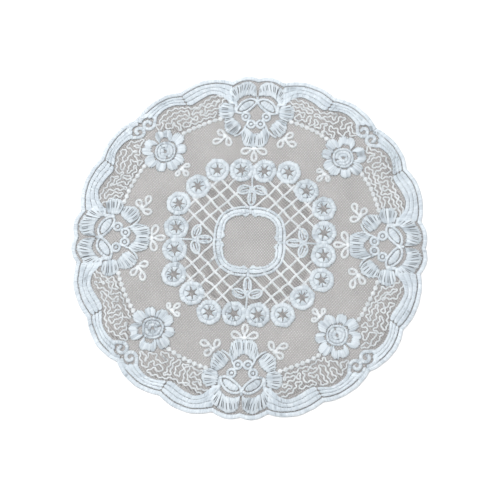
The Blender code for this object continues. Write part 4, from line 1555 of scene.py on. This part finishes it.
@dataclass
class WanderingLines:
    """One wandering line in each field behind the band, which fills it and never crosses itself.

    The field is divided into cells, a random tree joins all cells, and the line runs round the tree.
    """

    start: float = 16.4
    end: float = 42.0
    columns: int = 8
    cell: float = 5.7
    wander: float = 0.45
    wiggle: float = 0.6
    wiggle_wave: float = 4.8
    width: float = 1.2
    inner_limit: float = 95.1
    lean_from: float = 101.0
    lean_rate: float = 0.75
    rose_centre: Point = (63.5, 63.5)
    rose_limit: float = 16.9
    band_edge: Path = ((20.6, 101.2), (23.2, 103.4), (26.0, 105.5), (29.0, 106.6), (32.5, 106.9),
                       (35.5, 106.0), (39.0, 104.2), (42.5, 102.0), (46.0, 99.6), (50.0, 97.8),
                       (58.0, 97.2), (64.5, 95.2), (70.0, 90.0), (71.6, 84.0))

    def leant(self, radius: float, turn: float) -> Point:
        """Point of the field, whose first side leans back beside the bouquet."""
        share = (self.end - turn) / (self.end - self.start)
        lean = max(0.0, radius - self.lean_from) * self.lean_rate * share ** 3
        return polar(radius, 90.0 - turn + lean)

    def outline(self) -> np.ndarray:
        """Closed outline of the field."""
        turns = np.linspace(self.start, self.end, 30)
        inner = [self.leant(self.limits(turn)[0], turn) for turn in turns]
        outer = [self.leant(self.limits(turn)[1], turn) for turn in turns]
        return np.array(inner + outer[::-1])

    def limits(self, turn: float) -> tuple[float, float]:
        """Inner and outer radius of the field in a direction in degrees from north."""
        edge = smooth(self.band_edge)
        compass = np.degrees(np.arctan2(edge[:, 0], edge[:, 1]))
        outer = np.interp(turn, compass, np.hypot(edge[:, 0], edge[:, 1]))
        away = hypot(*self.rose_centre)
        off = radians(turn) - atan2(self.rose_centre[0], self.rose_centre[1])
        inner = self.inner_limit
        if abs(away * sin(off)) < self.rose_limit:
            inner = max(inner, away * cos(off) + sqrt(self.rose_limit ** 2 - (away * sin(off)) ** 2))
        return inner, float(outer)

    def tree(self, rows: list[int], dice: np.random.Generator) -> list[tuple[Cell, Cell]]:
        """Joins all cells by a random tree.

        Args:
            rows: Number of cells in each column, counted from the band inwards.
            dice: Source of the seeded choice.

        Returns:
            The joined pairs, each with its first cell on the left or nearer the band.
        """
        cells = [(column, row) for column, count in enumerate(rows) for row in range(count)]
        pairs = []
        for column, row in cells:
            for other in ((column + 1, row), (column, row + 1)):
                if other in cells:
                    pairs.append(((column, row), other))
        reached = {cells[int(dice.integers(len(cells)))]}
        chosen = []
        while len(reached) < len(cells):
            open_pairs = [pair for pair in pairs if (pair[0] in reached) != (pair[1] in reached)]
            pair = open_pairs[int(dice.integers(len(open_pairs)))]
            reached |= set(pair)
            chosen.append(pair)
        return chosen

    def round_trip(self, rows: list[int], joined: list[tuple[Cell, Cell]]) -> list[Cell]:
        """Walks round the tree, on points that lie two by two in every cell.

        Args:
            rows: Number of cells in each column.
            joined: The joined pairs of cells.

        Returns:
            The points in the order of the walk, as column and row of the finer grid.
        """
        links: set[frozenset[Cell]] = set()
        for column, count in enumerate(rows):
            for row in range(count):
                x, y = 2 * column, 2 * row
                corners = ((x, y), (x + 1, y), (x + 1, y + 1), (x, y + 1))
                links |= {frozenset(pair) for pair in zip(corners, corners[1:] + corners[:1])}
        for (column, row), (other_column, _) in joined:
            x, y = 2 * column, 2 * row
            if other_column > column:
                square = ((x + 1, y), (x + 2, y), (x + 2, y + 1), (x + 1, y + 1))
            else:
                square = ((x, y + 1), (x, y + 2), (x + 1, y + 2), (x + 1, y + 1))
            links ^= {frozenset(pair) for pair in zip(square, square[1:] + square[:1])}
        beside: dict[Cell, list[Cell]] = {}
        for link in links:
            one, other = sorted(link)
            beside.setdefault(one, []).append(other)
            beside.setdefault(other, []).append(one)
        walk = [min(beside)]
        before, here = walk[0], min(beside[walk[0]])
        while here != walk[0]:
            walk.append(here)
            before, here = here, next(spot for spot in sorted(beside[here]) if spot != before)
        return walk

    def line(self, dice: np.random.Generator) -> np.ndarray:
        """The wandering line of one field, closed on itself.

        Args:
            dice: Source of the seeded wandering.

        Returns:
            Points of the line.
        """
        width = (self.end - self.start) / self.columns
        rows = []
        for column in range(self.columns):
            inner, outer = self.limits(self.start + width * (column + 0.5))
            rows.append(max(1, int(round((outer - inner) / self.cell))))
        points = []
        for x, y in self.round_trip(rows, self.tree(rows, dice)):
            turn = self.start + width * (x + 0.5) / 2.0
            inner, outer = self.limits(turn)
            radius = outer - (outer - inner) * (y + 0.5) / (2.0 * rows[x // 2])
            points.append(self.leant(radius, turn))
        points = np.array(points) + dice.normal(0.0, self.wander, (len(points), 2))
        path = smooth(points, closed=True, between=6)
        path = resampled(path, int(path_length(path) / LINE_STEP))
        swing = np.sin(2.0 * pi * LINE_STEP / self.wiggle_wave * np.arange(len(path))) * self.wiggle
        return path + sideways(path) * swing[:, None]

    def build(self) -> bpy.types.Object:
        """Makes all wandering lines as one piece."""
        work = Needlework("wandering_lines", 101)
        hand = Hand(pitch=0.5, base=0.75, rise=0.5, thread=0.25, loose=0.08, ragged=0.04)
        for quarter in range(4):
            for flip in (False, True):
                path = self.line(work.dice)
                path = mirrored(path) if flip else path
                work.column(turned(path, -90.0 * quarter), self.width, hand, StitchForm.RUNNING, padded=False)
        return work.finished(CORD_THREAD)


@dataclass
class Studio:
    """Plain pale floor, soft lights and the camera at the photo's angle."""

    floor_size: float = 6.0
    floor_colour: tuple[float, float, float] = (0.9, 0.9, 0.9)
    camera_place: tuple[float, float, float] = (0.0073, -0.1668, 0.662)
    camera_up: tuple[float, float, float] = (-0.0436, 0.999, 0.0)
    lens: float = 70.4
    shift: tuple[float, float] = (0.001, -0.017)

    def floor(self) -> bpy.types.Object:
        """Makes the floor that the napkin lies on."""
        plane = bmesh.new()
        bmesh.ops.create_grid(plane, x_segments=2, y_segments=2, size=self.floor_size / 2.0)
        mesh = bpy.data.meshes.new("floor")
        plane.to_mesh(mesh)
        plane.free()
        material = bpy.data.materials.new("floor_paper")
        material.use_nodes = True
        shader = material.node_tree.nodes["Principled BSDF"]
        shader.inputs["Base Color"].default_value = (*self.floor_colour, 1.0)
        shader.inputs["Roughness"].default_value = 0.9
        shader.inputs["Specular IOR Level"].default_value = 0.1
        mesh.materials.append(material)
        floor = bpy.data.objects.new("floor", mesh)
        bpy.context.scene.collection.objects.link(floor)
        return floor

    def light(self, name: str, place: tuple[float, float, float], size: float, power: float) -> None:
        """Adds one soft light that looks at the napkin."""
        data = bpy.data.lights.new(name, "AREA")
        data.shape = "DISK"
        data.size = size
        data.energy = power
        lamp = bpy.data.objects.new(name, data)
        lamp.location = place
        lamp.rotation_euler = (-Vector(place)).to_track_quat("-Z", "Y").to_euler()
        bpy.context.scene.collection.objects.link(lamp)

    def surroundings(self) -> None:
        """Sets the even light of the room."""
        world = bpy.data.worlds.new("room")
        world.use_nodes = True
        world.node_tree.nodes["Background"].inputs["Color"].default_value = (1.0, 1.0, 1.0, 1.0)
        world.node_tree.nodes["Background"].inputs["Strength"].default_value = 0.6
        bpy.context.scene.world = world

    def camera(self) -> None:
        """Adds the camera and makes it the scene's."""
        data = bpy.data.cameras.new("camera")
        data.lens = self.lens
        data.sensor_width = 36.0
        data.shift_x, data.shift_y = self.shift
        data.clip_start = 0.01
        camera = bpy.data.objects.new("camera", data)
        place = Vector(self.camera_place)
        back = place.normalized()
        side = Vector(self.camera_up).cross(back).normalized()
        up = back.cross(side)
        turn = Matrix((side, up, back)).transposed().to_4x4()
        camera.matrix_world = Matrix.Translation(place) @ turn
        bpy.context.scene.collection.objects.link(camera)
        bpy.context.scene.camera = camera

    def build(self) -> bpy.types.Object:
        """Makes floor, lights, room and camera."""
        self.surroundings()
        self.light("key_light", (-0.4, 0.35, 1.0), 0.8, 12.0)
        self.light("fill_light", (0.5, -0.5, 1.0), 1.0, 5.0)
        self.camera()
        bpy.context.scene.view_settings.view_transform = "Standard"
        return self.floor()


def main() -> None:
    logging.basicConfig(level=logging.INFO, format="%(message)s")
    Studio().build()
    net = Net().build()
    pieces = [Net().build_shade_net(), *BorderBand().build()]
    for part in (Roundels(), Lattice(), CentreRing(), Sprigs(), InnerLeaves(), Roses(), Bouquets(),
                 BeadLines(), WanderingLines()):
        piece = part.build()
        LOG.info("built %s", piece.name)
        pieces.append(piece)
    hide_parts(CLOTH_NODE)


if __name__ == "__main__":
    main()
